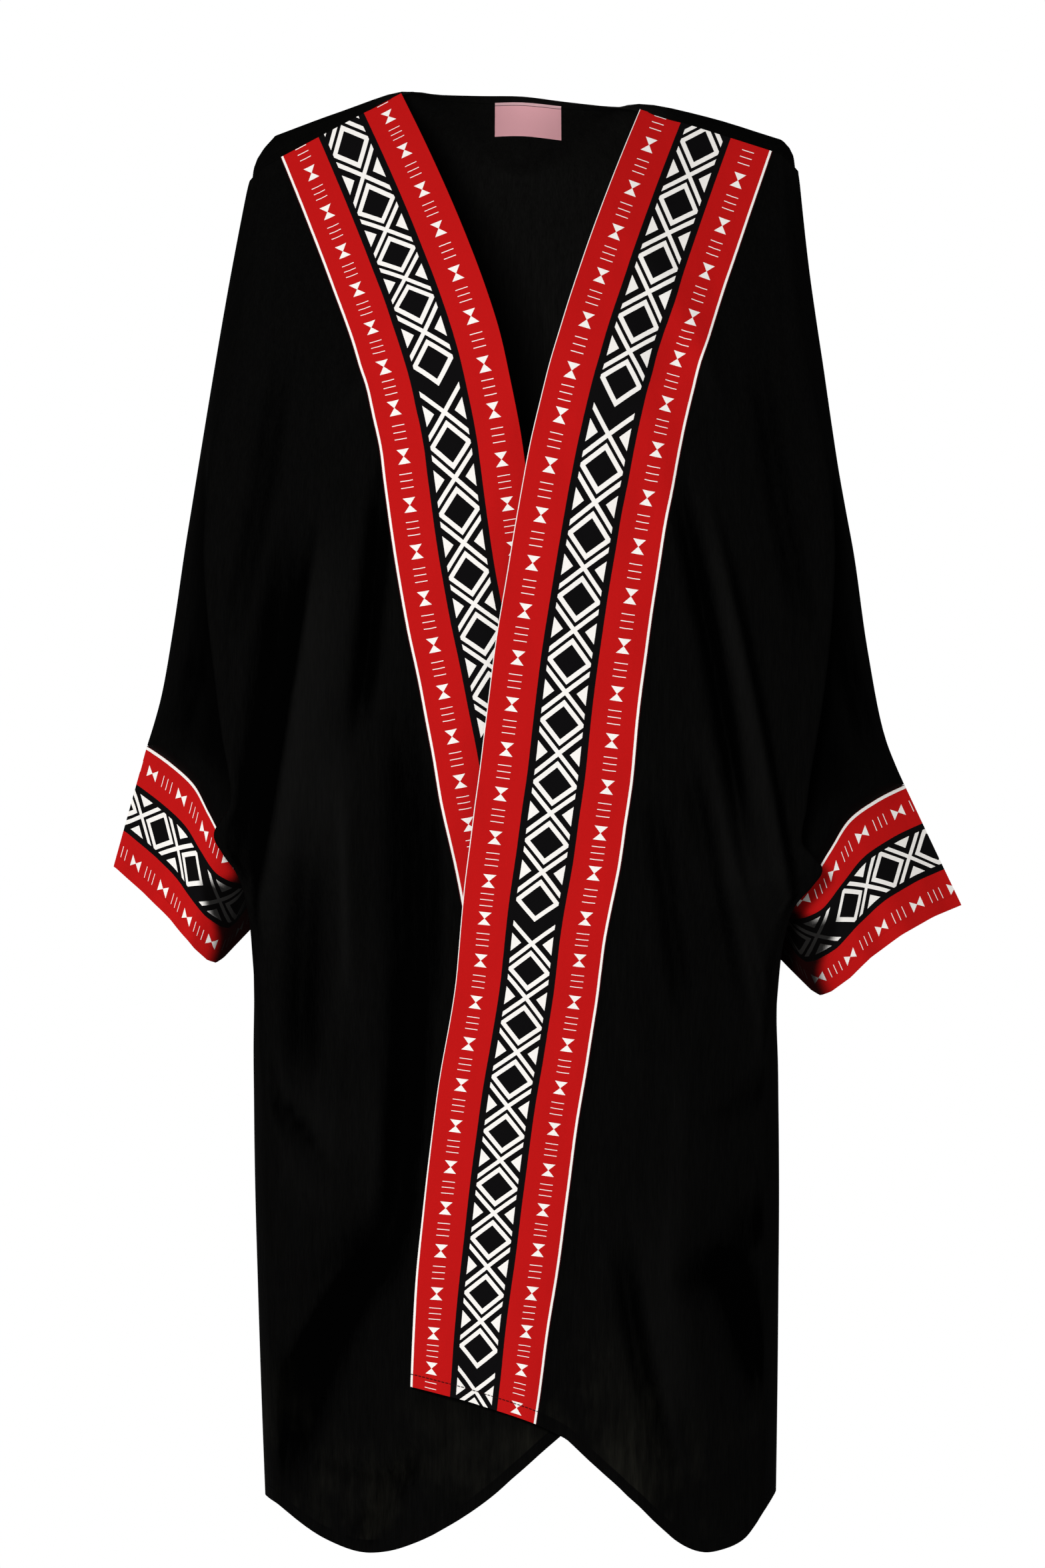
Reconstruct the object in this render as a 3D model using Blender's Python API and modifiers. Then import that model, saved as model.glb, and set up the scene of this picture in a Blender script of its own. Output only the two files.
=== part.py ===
"""An open-front kaftan with cut-in sleeves, filled out as it is worn, with nobody in it.

Metres, +Z up, the front faces -Y and the wearer's left is +X. The origin is midway between the
shoulders, where the wearer holds the garment up. Two fronts and one back meet along the shoulder,
overarm and side seams. A printed band runs down each front edge and another closes each sleeve.
"""

import math

import bmesh
import bpy
import numpy as np

MM = 0.001
CLOTH = 1.2 * MM
SEAM_GAP = 0.3 * MM
CUFF_WIDTH = 104 * MM
# How a cuff runs on from the sleeve's end, at its outer and its inner edge: (x, y, z).
CUFF_FALLS = {
    "right": (np.array((-27, 0, -97)) * MM, np.array((-16, 0, -93)) * MM),
    "left": (np.array((45, 0, -97)) * MM, np.array((18, 0, -92)) * MM),
}
LABEL_SIZE = (53 * MM, 26 * MM)
LABEL_THICKNESS = 0.8 * MM
LABEL_DROP = 4 * MM  # below the neck's edge
LABEL_GRID = (7, 4)  # points across and down
LAP = 4.5 * MM  # how far each front moves from the figure where the two lie on each other
LAP_INSIDE, LAP_OUTSIDE = 70 * MM, 190 * MM
LAP_TOP, LAP_FULL = -90 * MM, -240 * MM
CROWN = 2.4  # how square the chest and back are in plan: 2 is a parabola
CUFF_DEPTH = 45 * MM
CUFF_CLEAR = 4 * MM  # how far the cuff keeps off the body under the arm
CUFF_SHAPE = (0, 0.76, 1, 0.76, 0)  # share of CUFF_DEPTH along the sleeve's end
FIRST_CUFF, LAST_CUFF = 6, 10  # sections that end on the sleeve's end

# Millimetres out from the centre line and up from the shoulders: the front edge, the fold where
# the front hangs over the sleeve, and the outer seam. Then the band's width, which the photo shows
# a little wider over the chest, nearer to the eye. One row is one section across a front.
OUTLINE_COLUMNS = ("edge_out", "edge_up", "wing_out", "wing_up", "seam_out", "seam_up", "band")
RIGHT_OUTLINE = {
    "shoulder": (96, 18, 204, -39, 217, -51, 109),
    "upper_arm": (53, -75, 213, -122, 232, -128, 114),
    "chest": (21, -162, 228, -200, 242, -197, 115),
    "bust": (2, -250, 246, -275, 253, -276, 113),
    "ribs": (-10, -338, 252, -344, 263, -344, 113),
    "elbow": (-28, -431, 243, -450, 285, -462, 113),
    "cuff_outer": (-40, -488, 237, -497, 298, -500, 114),
    "cuff_front": (-47, -522, 232, -525, 260, -531, 115),
    "cuff_low": (-53, -556, 232, -550, 237, -572, 114),
    "cuff_inner": (-60, -588, 244, -572, 213, -580, 114),
    "underarm": (-66, -619, 227, -600, 201, -553, 114),
    "hip": (-76, -675, 209, -662, 204, -668, 114),
    "thigh": (-96, -771, 203, -775, 213, -781, 113),
    "knee": (-120, -890, 200, -912, 210, -925, 111),
    "hem": (-140, -984, 194, -1103, 204, -1097, 107),
}
LEFT_OUTLINE = {
    "shoulder": (93, 5, 205, -30, 219, -47, 111),
    "upper_arm": (60, -78, 213, -122, 228, -125, 115),
    "chest": (31, -164, 225, -200, 239, -200, 116),
    "bust": (8, -251, 242, -281, 249, -281, 118),
    "ribs": (-8, -338, 247, -344, 259, -347, 119),
    "elbow": (-27, -462, 235, -481, 288, -497, 121),
    "cuff_outer": (-33, -512, 228, -522, 303, -531, 122),
    "cuff_front": (-38, -547, 224, -553, 258, -559, 122),
    "cuff_low": (-42, -581, 222, -580, 229, -603, 121),
    "cuff_inner": (-46, -612, 237, -599, 204, -609, 119),
    "underarm": (-49, -644, 217, -625, 187, -578, 116),
    "hip": (-53, -688, 198, -684, 192, -688, 114),
    "thigh": (-68, -781, 194, -781, 203, -788, 114),
    "knee": (-82, -900, 193, -919, 203, -925, 112),
    "hem": (-88, -1009, 191, -1109, 201, -1094, 105),
}
# Depths of the same sections from the garment's mid plane, and how far the fold laps the sleeve.
DEPTH_COLUMNS = ("front", "front_wing", "front_tuck", "back", "back_wing", "back_tuck", "back_up")
DEPTHS = {
    "shoulder": (14, 13, 0, 42, -13, 0, 14),
    "upper_arm": (70, 42, 0, 88, 44, 0, -60),
    "chest": (100, 56, 0, 101, 56, 0, -140),
    "bust": (113, 67, 3, 102, 64, 0, -228),
    "ribs": (118, 76, 16, 99, 70, 8, -315),
    "elbow": (118, 84, 26, 96, 76, 20, -410),
    "cuff_outer": (117, 88, 31, 95, 78, 24, -475),
    "cuff_front": (116, 89, 32, 95, 78, 24, -510),
    "cuff_low": (116, 89, 31, 96, 77, 22, -545),
    "cuff_inner": (116, 87, 31, 97, 75, 18, -580),
    "underarm": (116, 82, 22, 98, 72, 10, -612),
    "hip": (118, 72, 0, 100, 66, 0, -675),
    "thigh": (120, 66, 0, 103, 61, 0, -785),
    "knee": (122, 62, 0, 106, 57, 0, -905),
    "hem": (122, 58, 0, 106, 54, 0, -1030),
}
TUCK_FULL = 30 * MM
TUCK_BACKSET = 24 * MM  # how far the fold's inner turn lies behind its edge
FOLD_EDGE = 15 * MM
# Where there is no fold, the way round the side: shares of the way out, back and down.
SIDE_TURN = ((0.5, 0.24, 0.5), (0.8, 0.5, 0.8), (0.955, 0.76, 0.955))
SEAM_SET_BACK = 0.3 * MM  # each panel's edge stops this far short of the seam's line
CUFF_SET_BACK = 0.9 * MM  # the cuff starts this far below the sleeve's line
SLEEVE_SET_BACK = 3.0 * MM  # the sleeve turns where the cuff is sewn on, so its edge keeps more clear
LABEL_GAP = 0.6 * MM
# The back wraps over the shoulder. Its ridge lies this far above and behind the seam, at these
# hundredths of the way from the neck to the arm.
RIDGE_COLUMNS = ("share", "right_up", "left_up", "behind")
RIDGE = {
    "neck": (0, 1, 5, 13),
    "middle": (45, 13, 12, 16),
    "end": (83, 18, 11, 19),
    "corner": (96, 7, 9, 18),
    "arm": (100, -38, -38, 13),
}
BACK_FIRST_SHARE = 0.42  # of the way to the fold that the lines behind the band take on the back
BACK_SHIFT = 8 * MM  # the back's fold lies inside the front's
# How far a hem bows below the straight line from its front edge to its side, and where.
HEM_BOW = {"right": (71 * MM, 1.8), "left": (51 * MM, 3.5), "back": (30 * MM, 1.4)}
BACK_NECK_BOW = 0.8  # roundness of the back neck in plan

# Soft folds, in millimetres as above: top, bottom, half width and height (a trough is negative).
FOLD_COLUMNS = ("top_out", "top_up", "end_out", "end_up", "bow", "half_width", "height")
RIGHT_FOLDS = {
    "long_ridge": (150, -290, 208, -650, 3, 19, 9),
    "beside_ridge": (180, -330, 226, -600, 3, 15, -8),
    "band_trough": (113, -300, 133, -440, 2, 13, -7),
    "inner_trough": (115, -480, 106, -720, 0, 14, -5),
    "mid_ridge": (142, -500, 140, -730, 0, 18, 5),
    "low_swag": (100, -890, 178, -1030, -8, 18, -7),
}
LEFT_FOLDS = {
    "long_ridge": (122, -290, 218, -640, -6, 18, 9),
    "beside_ridge": (119, -300, 176, -560, -6, 13, -8),
    "second_ridge": (145, -490, 192, -720, -3, 18, 6),
    "side_swag": (120, -940, 206, -850, 10, 18, -6),
    "low_ridge": (112, -860, 132, -1040, 3, 18, 6),
    "corner_trough": (158, -900, 198, -1020, 0, 15, -6),
}
BACK_FOLDS = {
    "left_long": (118, -240, 176, -640, 6, 22, 8),
    "left_trough": (146, -260, 206, -560, 4, 17, -8),
    "left_low": (96, -620, 116, -1010, 4, 26, 8),
    "centre": (6, -420, -8, -1020, 5, 28, 7),
    "centre_trough": (52, -520, 56, -1030, 0, 22, -6),
    "right_trough": (-60, -470, -48, -1030, 0, 22, -6),
    "right_low": (-104, -640, -124, -1020, -4, 26, 8),
    "right_long": (-124, -250, -182, -650, -6, 22, 8),
    "right_side": (-152, -270, -208, -570, -4, 17, -8),
}

# Grid steps between the named lines across a panel, and between two sections down it.
ACROSS = {"band_middle": 1, "band": 1, "body_1": 4, "body_2": 4, "before_wing": 2, "wing": 2,
          "tuck": 3, "sleeve_1": 1, "sleeve_2": 1, "seam": 2}
BAND_STEPS = ACROSS["band_middle"] + ACROSS["band"]
NECK_STEPS = 3
DOWN = 2
CUFF_STEPS = 3
SIDES = {"right": -1, "left": 1}  # the wearer's

CLOTH_BLACK = (0.009, 0.009, 0.010, 1)
BAND_RED = (0.56, 0.010, 0.014, 1)
LABEL_PINK = (0.76, 0.33, 0.36, 1)


def column(table, columns, name):
    """One named column of a table in millimetres, as metres."""
    place = columns.index(name)
    return np.array([row[place] for row in table.values()], float) * MM


def smooth_step(low, high, value):
    share = np.clip((value - low) / (high - low), 0, 1)
    return share * share * (3 - 2 * share)


def through(points, steps):
    """A smooth curve through the points along axis 0, with so many steps in each interval."""
    points = np.asarray(points, float)
    gaps = np.linalg.norm(np.diff(points, axis=0), axis=-1)
    gaps = gaps.reshape(len(gaps), -1).mean(axis=1) + 1e-9
    slopes = np.diff(points, axis=0) / gaps.reshape(-1, *[1] * (points.ndim - 1))
    tangents = np.empty_like(points)
    tangents[0], tangents[-1] = slopes[0], slopes[-1]
    for i in range(1, len(points) - 1):
        tangents[i] = (slopes[i - 1] * gaps[i] + slopes[i] * gaps[i - 1]) / (gaps[i] + gaps[i - 1])
    for end, near, slope in ((0, 1, 0), (-1, -2, -1)):
        if len(points) > 2:
            tangents[end] = 1.5 * slopes[slope] - 0.5 * tangents[near]
    rows = [points[0]]
    for i, count in enumerate(steps):
        for t in np.arange(1, count + 1) / count:
            start = (1 + 2 * t) * (1 - t) ** 2 * points[i] + t * t * (3 - 2 * t) * points[i + 1]
            turn = t * (1 - t) ** 2 * tangents[i] - t * t * (1 - t) * tangents[i + 1]
            rows.append(start + gaps[i] * turn)
    return np.array(rows)


def folds_at(out, up, table):
    """How far soft folds lift the cloth at these places."""
    lift = np.zeros_like(out)
    for top_out, top_up, end_out, end_up, bow, half_width, height in table.values():
        start = np.array((top_out, top_up)) * MM
        run = np.array((end_out, end_up)) * MM - start
        length = math.hypot(*run)
        along = ((out - start[0]) * run[0] + (up - start[1]) * run[1]) / length**2
        aside = ((out - start[0]) * run[1] - (up - start[1]) * run[0]) / length
        aside = aside - bow * MM * np.sin(math.pi * np.clip(along, 0, 1))
        fade = smooth_step(-0.12, 0.3, along) * (1 - smooth_step(0.72, 1.12, along))
        lift += height * MM * fade * np.exp(-((aside / (half_width * MM)) ** 2))
    return lift


def quarter_turn(start, end, degrees):
    """A point on the quarter ellipse that leaves start sideways and reaches end front to back."""
    angle = math.radians(degrees)
    share = np.array((math.sin(angle), 1 - math.cos(angle), math.sin(angle)))
    return start + (end - start) * share


def crown(out, wing_out, centre, wing):
    """Depth of the chest or back at a distance from the centre line."""
    return wing + (centre - wing) * (1 - np.abs(out / wing_out) ** CROWN)


def net_of(outline, bow, is_front):
    """Control points of half a panel: a row per section, a column per name in ACROSS, plus one.

    Each point is (out, depth, up), with depth to the front for a front and to the back for a back.
    """
    edge_out, edge_up, wing_out, wing_up, seam_out, seam_up, band_width = (
        column(outline, OUTLINE_COLUMNS, name) for name in OUTLINE_COLUMNS
    )
    side = "front" if is_front else "back"
    centre, wing_depth, tuck = (
        column(DEPTHS, DEPTH_COLUMNS, side + end) for end in ("", "_wing", "_tuck")
    )
    if not is_front:
        edge_out, edge_up = back_lines(outline)
        wing_out = wing_out - BACK_SHIFT * (np.arange(len(outline)) > 0)
        # The sleeve's end hangs lower in front than behind.
        chord = np.linspace(0, 1, LAST_CUFF - FIRST_CUFF + 1)
        cuff = slice(FIRST_CUFF, LAST_CUFF + 1)
        seam_out[cuff] = seam_out[FIRST_CUFF] + chord * (seam_out[LAST_CUFF] - seam_out[FIRST_CUFF])
        seam_up[cuff] = seam_up[FIRST_CUFF] + chord * (seam_up[LAST_CUFF] - seam_up[FIRST_CUFF])
    seam_depth = np.zeros(len(outline))
    seam_depth[FIRST_CUFF : LAST_CUFF + 1] = CUFF_DEPTH * np.array(CUFF_SHAPE)
    seam_depth[0] = 13 * MM if is_front else -13 * MM
    bow_height, bow_power = bow
    rows = []
    for i in range(len(outline)):
        edge = np.array((edge_out[i], edge_up[i]))
        wing = np.array((wing_out[i], wing_up[i]))
        if i in (0, len(outline) - 1) or not is_front:
            across = wing - edge
        else:
            across = np.array((edge_up[i - 1] - edge_up[i + 1], edge_out[i + 1] - edge_out[i - 1]))
        across = across / math.hypot(*across)
        band = edge + band_width[i] * across if is_front else edge + (wing - edge) * BACK_FIRST_SHARE
        share = np.array((0, 0.5, 1))[:, None]
        lines = list(edge + share * (band - edge)) + [band + (wing - band) * s for s in (0.36, 0.7)]
        inward = lines[-1] - wing
        before = wing + inward * min(0.5, FOLD_EDGE / math.hypot(*inward))
        lines += [before, wing]
        low = max(0, (i - LAST_CUFF) / (len(outline) - 1 - LAST_CUFF)) ** 3
        points = []
        for line in lines:
            along = np.clip((edge[0] - line[0]) / (edge[0] - wing[0]), 0, 1)
            drop = low * bow_height * math.sin(math.pi * along**bow_power)
            depth = crown(line[0], wing[0], centre[i], wing_depth[i])
            points.append(np.array((line[0], depth, line[1] - drop)))
        turn = points[-1]
        seam = np.array((seam_out[i], seam_depth[i], seam_up[i]))
        flat = [turn + (seam - turn) * np.array(share) for share in SIDE_TURN]
        inner = turn + np.array((-tuck[i], -TUCK_BACKSET, 0))
        tucked = [inner, quarter_turn(inner, seam, 32), quarter_turn(inner, seam, 62)]
        lapped = min(1, tuck[i] / TUCK_FULL * 1.4)
        points += [a + (b - a) * lapped for a, b in zip(flat, tucked)] + [seam]
        rows.append(points)
    return np.array(rows)


def back_lines(outline):
    """Where the back's columns start: on the shoulder's neck point, then spread down the back."""
    edge_out = column(outline, OUTLINE_COLUMNS, "edge_out")
    edge_up = column(outline, OUTLINE_COLUMNS, "edge_up")
    wing_out = column(outline, OUTLINE_COLUMNS, "wing_out")
    wing_up = column(outline, OUTLINE_COLUMNS, "wing_up")
    back_up = column(DEPTHS, DEPTH_COLUMNS, "back_up")
    neck = edge_out[0]
    spread = neck * wing_out / wing_out[1]
    spread[0] = neck
    level = back_up + (wing_up - back_up) * 0.3
    level[0] = edge_up[0]
    return spread, level


def surface(net, across, down=DOWN):
    """The net's smooth surface. It turns a corner at each end of the sleeve's edge."""
    whole = through(net, [down] * (len(net) - 1))
    stretches = ((0, FIRST_CUFF), (FIRST_CUFF, LAST_CUFF), (LAST_CUFF, len(net) - 1))
    parts = [through(net[a : b + 1], [down] * (b - a)) for a, b in stretches]
    cornered = np.concatenate([parts[0], parts[1][1:], parts[2][1:]])
    columns = net.shape[1]
    weight = np.clip((np.arange(columns) - (columns - 4)) / 2, 0, 1)[None, :, None]
    lines = whole + (cornered - whole) * weight
    return np.array([through(line, across) for line in lines])


def front_points(outline, bow, folds, lap):
    """Inner face of a front, as (x out, y, z) for the wearer's left, in metres."""
    grid = surface(net_of(outline, bow, True), list(ACROSS.values()))
    out, depth, up = grid[..., 0], grid[..., 1], grid[..., 2]
    on_body = body_share(grid.shape[1])
    depth = depth + on_body * folds_at(out, up, folds)
    lapped = (1 - smooth_step(LAP_INSIDE, LAP_OUTSIDE, out)) * smooth_step(-LAP_TOP, -LAP_FULL, -up)
    depth = depth + lap * lapped
    return np.stack([out, -depth, up], axis=-1)


def body_share(columns):
    """1 on the chest or back, fading to 0 at the fold over the sleeve, for each column outward."""
    before_fold = sum(list(ACROSS.values())[: list(ACROSS).index("wing")])
    return 1 - smooth_step(before_fold - 4, before_fold + 1, np.arange(columns))[None, :]


def back_half(side, outline, front):
    """Inner face of half the back, from the centre line out, with its seams on the front's."""
    net = net_of(outline, HEM_BOW["back"], False)
    grid = surface(net, list(ACROSS.values()))
    seam_row = front[0]
    share = (seam_row[:, 0] - seam_row[0, 0]) / (seam_row[-1, 0] - seam_row[0, 0])
    places = column(RIDGE, RIDGE_COLUMNS, "share") / MM / 100
    ridge_up = np.interp(share, places, column(RIDGE, RIDGE_COLUMNS, side + "_up"))
    ridge_back = np.interp(share, places, column(RIDGE, RIDGE_COLUMNS, "behind"))
    grid[0] = seam_row
    grid[1] = seam_row + np.stack([0 * share, ridge_back, ridge_up], axis=-1)
    grid[1, -1] = front[1, -1]
    last = DOWN * FIRST_CUFF
    first = DOWN * LAST_CUFF
    grid[: last + 1, -1] = front[: last + 1, -1]
    grid[first:, -1] = front[first:, -1]
    # The neck's strip runs from the centre line to the neck point.
    back_up = column(DEPTHS, DEPTH_COLUMNS, "back_up")
    centre_depth = column(DEPTHS, DEPTH_COLUMNS, "back")
    centre = through(np.stack([0 * back_up, centre_depth, back_up], axis=-1), [DOWN] * (len(net) - 1))
    strip = []
    for row, (start, end) in enumerate(zip(centre, grid[:, 0])):
        line = []
        for t in np.arange(NECK_STEPS) / NECK_STEPS:
            point = start + (end - start) * t
            if row < 2:
                point[1] = start[1] + (end[1] - start[1]) * (1 - (1 - t**2) ** BACK_NECK_BOW)
            else:
                point[1] = start[1] + (end[1] - start[1]) * t**CROWN
            point[2] = start[2] + (end[2] - start[2]) * t**2
            line.append(point)
        strip.append(line)
    return np.concatenate([np.array(strip), grid], axis=1)


def back_points(right_front, left_front):
    """The whole back, from the wearer's right seam to the left one."""
    halves = []
    for side, outline, front in (
        ("right", RIGHT_OUTLINE, right_front),
        ("left", LEFT_OUTLINE, left_front),
    ):
        half = back_half(side, outline, front)
        half[..., 0] *= SIDES[side]
        halves.append(half)
    middle = (halves[0][:, :1] + halves[1][:, :1]) / 2
    grid = np.concatenate([halves[0][:, :0:-1], middle, halves[1][:, 1:]], axis=1)
    out, up = grid[..., 0], grid[..., 2]
    half_share = body_share(1 + sum(ACROSS.values()))
    neck_share = np.ones((1, NECK_STEPS))
    half_share = np.concatenate([neck_share, half_share], axis=1)
    on_body = np.concatenate([half_share[:, :0:-1], half_share], axis=1)
    grid[..., 1] += on_body * folds_at(out, up, BACK_FOLDS)
    return grid


def outward(front):
    """Unit normals of a front, facing out of the garment."""
    normal = np.cross(np.gradient(front, axis=1), np.gradient(front, axis=0))
    normal = normal / np.linalg.norm(normal, axis=-1, keepdims=True)
    return -normal * np.sign(normal[..., 1].mean())


def set_back(points, toward, distance):
    """Points moved from an edge towards their neighbours, to leave room for a seam."""
    step = toward - points
    distance = np.broadcast_to(distance, len(points))[:, None]
    return points + step / np.linalg.norm(step, axis=-1, keepdims=True) * distance


def side_set_back(rows):
    """How far each row of a panel stops short of its outer line."""
    distance = np.full(rows, SEAM_SET_BACK)
    distance[DOWN * FIRST_CUFF + 1 : DOWN * LAST_CUFF] = SLEEVE_SET_BACK
    return distance


def cloth_object(name, points, thickness, colour, roughness, side=1, closed=False):
    """A grid bent to its points and given its wall, on its outer side or with side -1 inside."""
    rows, columns = points.shape[:2]
    shape = bmesh.new()
    bmesh.ops.create_grid(shape, x_segments=columns - 1, y_segments=rows - 1, size=1)
    shape.verts.ensure_lookup_table()
    for vert, point in zip(shape.verts, points.reshape(-1, 3)):
        vert.co = point
    if closed:
        bmesh.ops.remove_doubles(shape, verts=shape.verts, dist=0.01 * MM)
    if side * outward_sign(shape, points) < 0:
        bmesh.ops.reverse_faces(shape, faces=shape.faces)
    mesh = bpy.data.meshes.new(name)
    shape.to_mesh(mesh)
    shape.free()
    piece = bpy.data.objects.new(name, mesh)
    wall = piece.modifiers.new("wall", "SOLIDIFY")
    wall.thickness = thickness
    wall.offset = 1
    mesh.shade_smooth()
    finish = bpy.data.materials.new(name)
    finish.use_nodes = True
    shader = finish.node_tree.nodes["Principled BSDF"]
    shader.inputs["Base Color"].default_value = colour
    shader.inputs["Roughness"].default_value = roughness
    mesh.materials.append(finish)
    return piece


def outward_sign(shape, points):
    """Positive where the grid's faces turn away from the middle of what they wrap."""
    shape.normal_update()
    middle = points.reshape(-1, 3).mean(axis=0) * (1, 0, 1)
    return sum(
        face.calc_area() * np.dot(face.normal, np.array(face.calc_center_median()) - middle)
        for face in shape.faces
    )


def cuff_points(front, back, fall_outer, fall_inner):
    """The ring that closes a sleeve, from the sleeve's end down along the arm."""
    first, last = DOWN * FIRST_CUFF, DOWN * LAST_CUFF
    front_arc = front[first : last + 1, -1]
    back_arc = back[first : last + 1, -1]
    ring = np.concatenate([front_arc, back_arc[-2:0:-1], front_arc[:1]])
    outer, inner = ring[0], front_arc[-1]
    run = inner - outer
    share = np.clip(((ring - outer) @ run) / (run @ run), 0, 1)[:, None]
    ring = ring - run / np.linalg.norm(run) * CUFF_CLEAR * share**4
    fall = fall_outer + (fall_inner - fall_outer) * share
    starts = CUFF_SET_BACK / CUFF_WIDTH
    levels = [starts + (1 - starts) * k / CUFF_STEPS for k in range(CUFF_STEPS + 1)]
    return np.array([ring + fall * level for level in levels])


def label_points(back):
    """The label's back face, on the inner side of the back just under the neck."""
    middle = back.shape[1] // 2
    strip = back[:3, middle - NECK_STEPS : middle + NECK_STEPS + 1]
    rows = []
    for down in np.linspace(LABEL_DROP, LABEL_DROP + LABEL_SIZE[1], LABEL_GRID[1]):
        line = []
        for out in np.linspace(-0.5, 0.5, LABEL_GRID[0]) * LABEL_SIZE[0]:
            height = [np.interp(out, row[:, 0], row[:, 2]) for row in strip]
            depth = [np.interp(out, row[:, 0], row[:, 1]) for row in strip]
            up = height[0] - down
            line.append((out, np.interp(-up, [-h for h in height], depth) - LABEL_GAP, up))
        rows.append(line)
    return np.array(rows)


def main():
    for old in list(bpy.data.objects):
        bpy.data.objects.remove(old, do_unlink=True)
    garment = bpy.data.collections.new("kaftan")
    bpy.context.scene.collection.children.link(garment)

    right = front_points(RIGHT_OUTLINE, HEM_BOW["right"], RIGHT_FOLDS, -LAP)
    left = front_points(LEFT_OUTLINE, HEM_BOW["left"], LEFT_FOLDS, LAP)
    back = back_points(right, left)
    right = right * (-1, 1, 1)
    pieces = []
    middle = back.shape[1] // 2
    for name, front in (("right", right), ("left", left)):
        half = back[:, : middle + 1][:, ::-1] if name == "right" else back[:, middle:]
        ring = cuff_points(front, half, *CUFF_FALLS[name])
        pieces.append(cloth_object("cuff_" + name, ring, CLOTH, BAND_RED, 0.75, closed=True))
        lifted = (front + outward(front) * (CLOTH + SEAM_GAP))[:, : BAND_STEPS + 1]
        pieces.append(cloth_object("band_" + name, lifted, CLOTH, BAND_RED, 0.75))
        front = front.copy()
        front[:, -1] = set_back(front[:, -1], front[:, -2], side_set_back(len(front)))
        front[0] = set_back(front[0], front[1], SEAM_GAP / 2)
        pieces.append(cloth_object("front_" + name, front, CLOTH, CLOTH_BLACK, 0.8))
    trimmed = back.copy()
    for edge, inner in ((0, 1), (-1, -2)):
        trimmed[:, edge] = set_back(back[:, edge], back[:, inner], side_set_back(len(back)))
    trimmed[0] = set_back(trimmed[0], trimmed[1], SEAM_GAP / 2)
    pieces.append(cloth_object("back", trimmed, CLOTH, CLOTH_BLACK, 0.8))
    label = label_points(trimmed)
    pieces.append(cloth_object("label", label, LABEL_THICKNESS, LABEL_PINK, 0.5, side=-1))
    for piece in pieces:
        garment.objects.link(piece)


main()
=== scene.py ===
# %% [markdown]
# An open-front kaftan, filled out as it is worn, with nobody in it. Its cloth is a soft black
# crepe, and a printed border runs down both front edges and closes each sleeve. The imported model
# gives the size and place of every piece. This script rebuilds each piece from the same named
# sections with many more points, and gives it the folds and finish of the real cloth.

# %% Load the frame
import math

import bpy
import numpy as np
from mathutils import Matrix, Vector


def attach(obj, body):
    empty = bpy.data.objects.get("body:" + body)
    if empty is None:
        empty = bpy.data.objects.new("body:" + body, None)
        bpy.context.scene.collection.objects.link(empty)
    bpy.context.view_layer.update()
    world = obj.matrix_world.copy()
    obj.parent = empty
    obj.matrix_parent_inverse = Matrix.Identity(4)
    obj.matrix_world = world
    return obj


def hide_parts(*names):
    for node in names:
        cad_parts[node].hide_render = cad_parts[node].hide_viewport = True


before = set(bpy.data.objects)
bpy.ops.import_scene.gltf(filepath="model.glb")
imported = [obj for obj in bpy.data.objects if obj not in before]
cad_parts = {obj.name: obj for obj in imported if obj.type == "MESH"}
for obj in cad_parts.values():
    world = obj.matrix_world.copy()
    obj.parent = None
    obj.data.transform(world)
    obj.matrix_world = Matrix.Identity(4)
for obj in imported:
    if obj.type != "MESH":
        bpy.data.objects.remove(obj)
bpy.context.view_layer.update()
MM = 0.001

# %% [markdown]
# The camera stands level with the middle of the garment and far off, as in the photograph. A long
# lens at twenty metres gives a frame 1.25 m high where the garment hangs.

# %% Camera
EYE_DISTANCE = 20.0
FRAME_HEIGHT = 1.25
EYE_HEIGHT = -0.531
SENSOR_HEIGHT = 24.0

bpy.ops.object.camera_add(location=(0, -EYE_DISTANCE, EYE_HEIGHT), rotation=(math.pi / 2, 0, 0))
camera = bpy.context.active_object
camera.data.sensor_fit = "VERTICAL"
camera.data.sensor_height = SENSOR_HEIGHT
camera.data.lens = SENSOR_HEIGHT * EYE_DISTANCE / FRAME_HEIGHT
camera.data.clip_end = 60
bpy.context.scene.camera = camera
print("Lens", round(camera.data.lens), "mm")

# %% [markdown]
# One soft light near the camera gives most of the light, as in the photograph. Whatever turns away
# from it goes dark, so the folds and the inner sides of the sleeves show. Weak lights at the sides
# round it off. The background is white and hardly lights the cloth. The floor is a pale disc.

# %% Floor and lights
FLOOR_HEIGHT, FLOOR_RADIUS = -1.38, 2.1
LIT_PLACE = Vector((0, 0, -0.55))


def soft_light(name, place, width, height, watts):
    """A rectangular studio light that faces the middle of the garment."""
    bpy.ops.object.light_add(type="AREA", location=place)
    light = bpy.context.active_object
    light.name = name
    light.data.shape = "RECTANGLE"
    light.data.size, light.data.size_y = width, height
    light.data.energy = watts
    toward = LIT_PLACE - Vector(place)
    light.rotation_euler = toward.to_track_quat("-Z", "Y").to_euler()


soft_light("front", (-0.6, -4.3, 0.1), 0.8, 0.8, 128)
soft_light("from_right", (-2.9, -1.3, 0.5), 0.7, 1.8, 34)
soft_light("from_left", (2.9, -1.3, 0.1), 0.7, 1.8, 14)
soft_light("above", (0.0, -2.2, 2.6), 1.2, 0.8, 14)
soft_light("behind", (0.0, 2.8, 0.2), 0.6, 1.4, 40)

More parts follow.
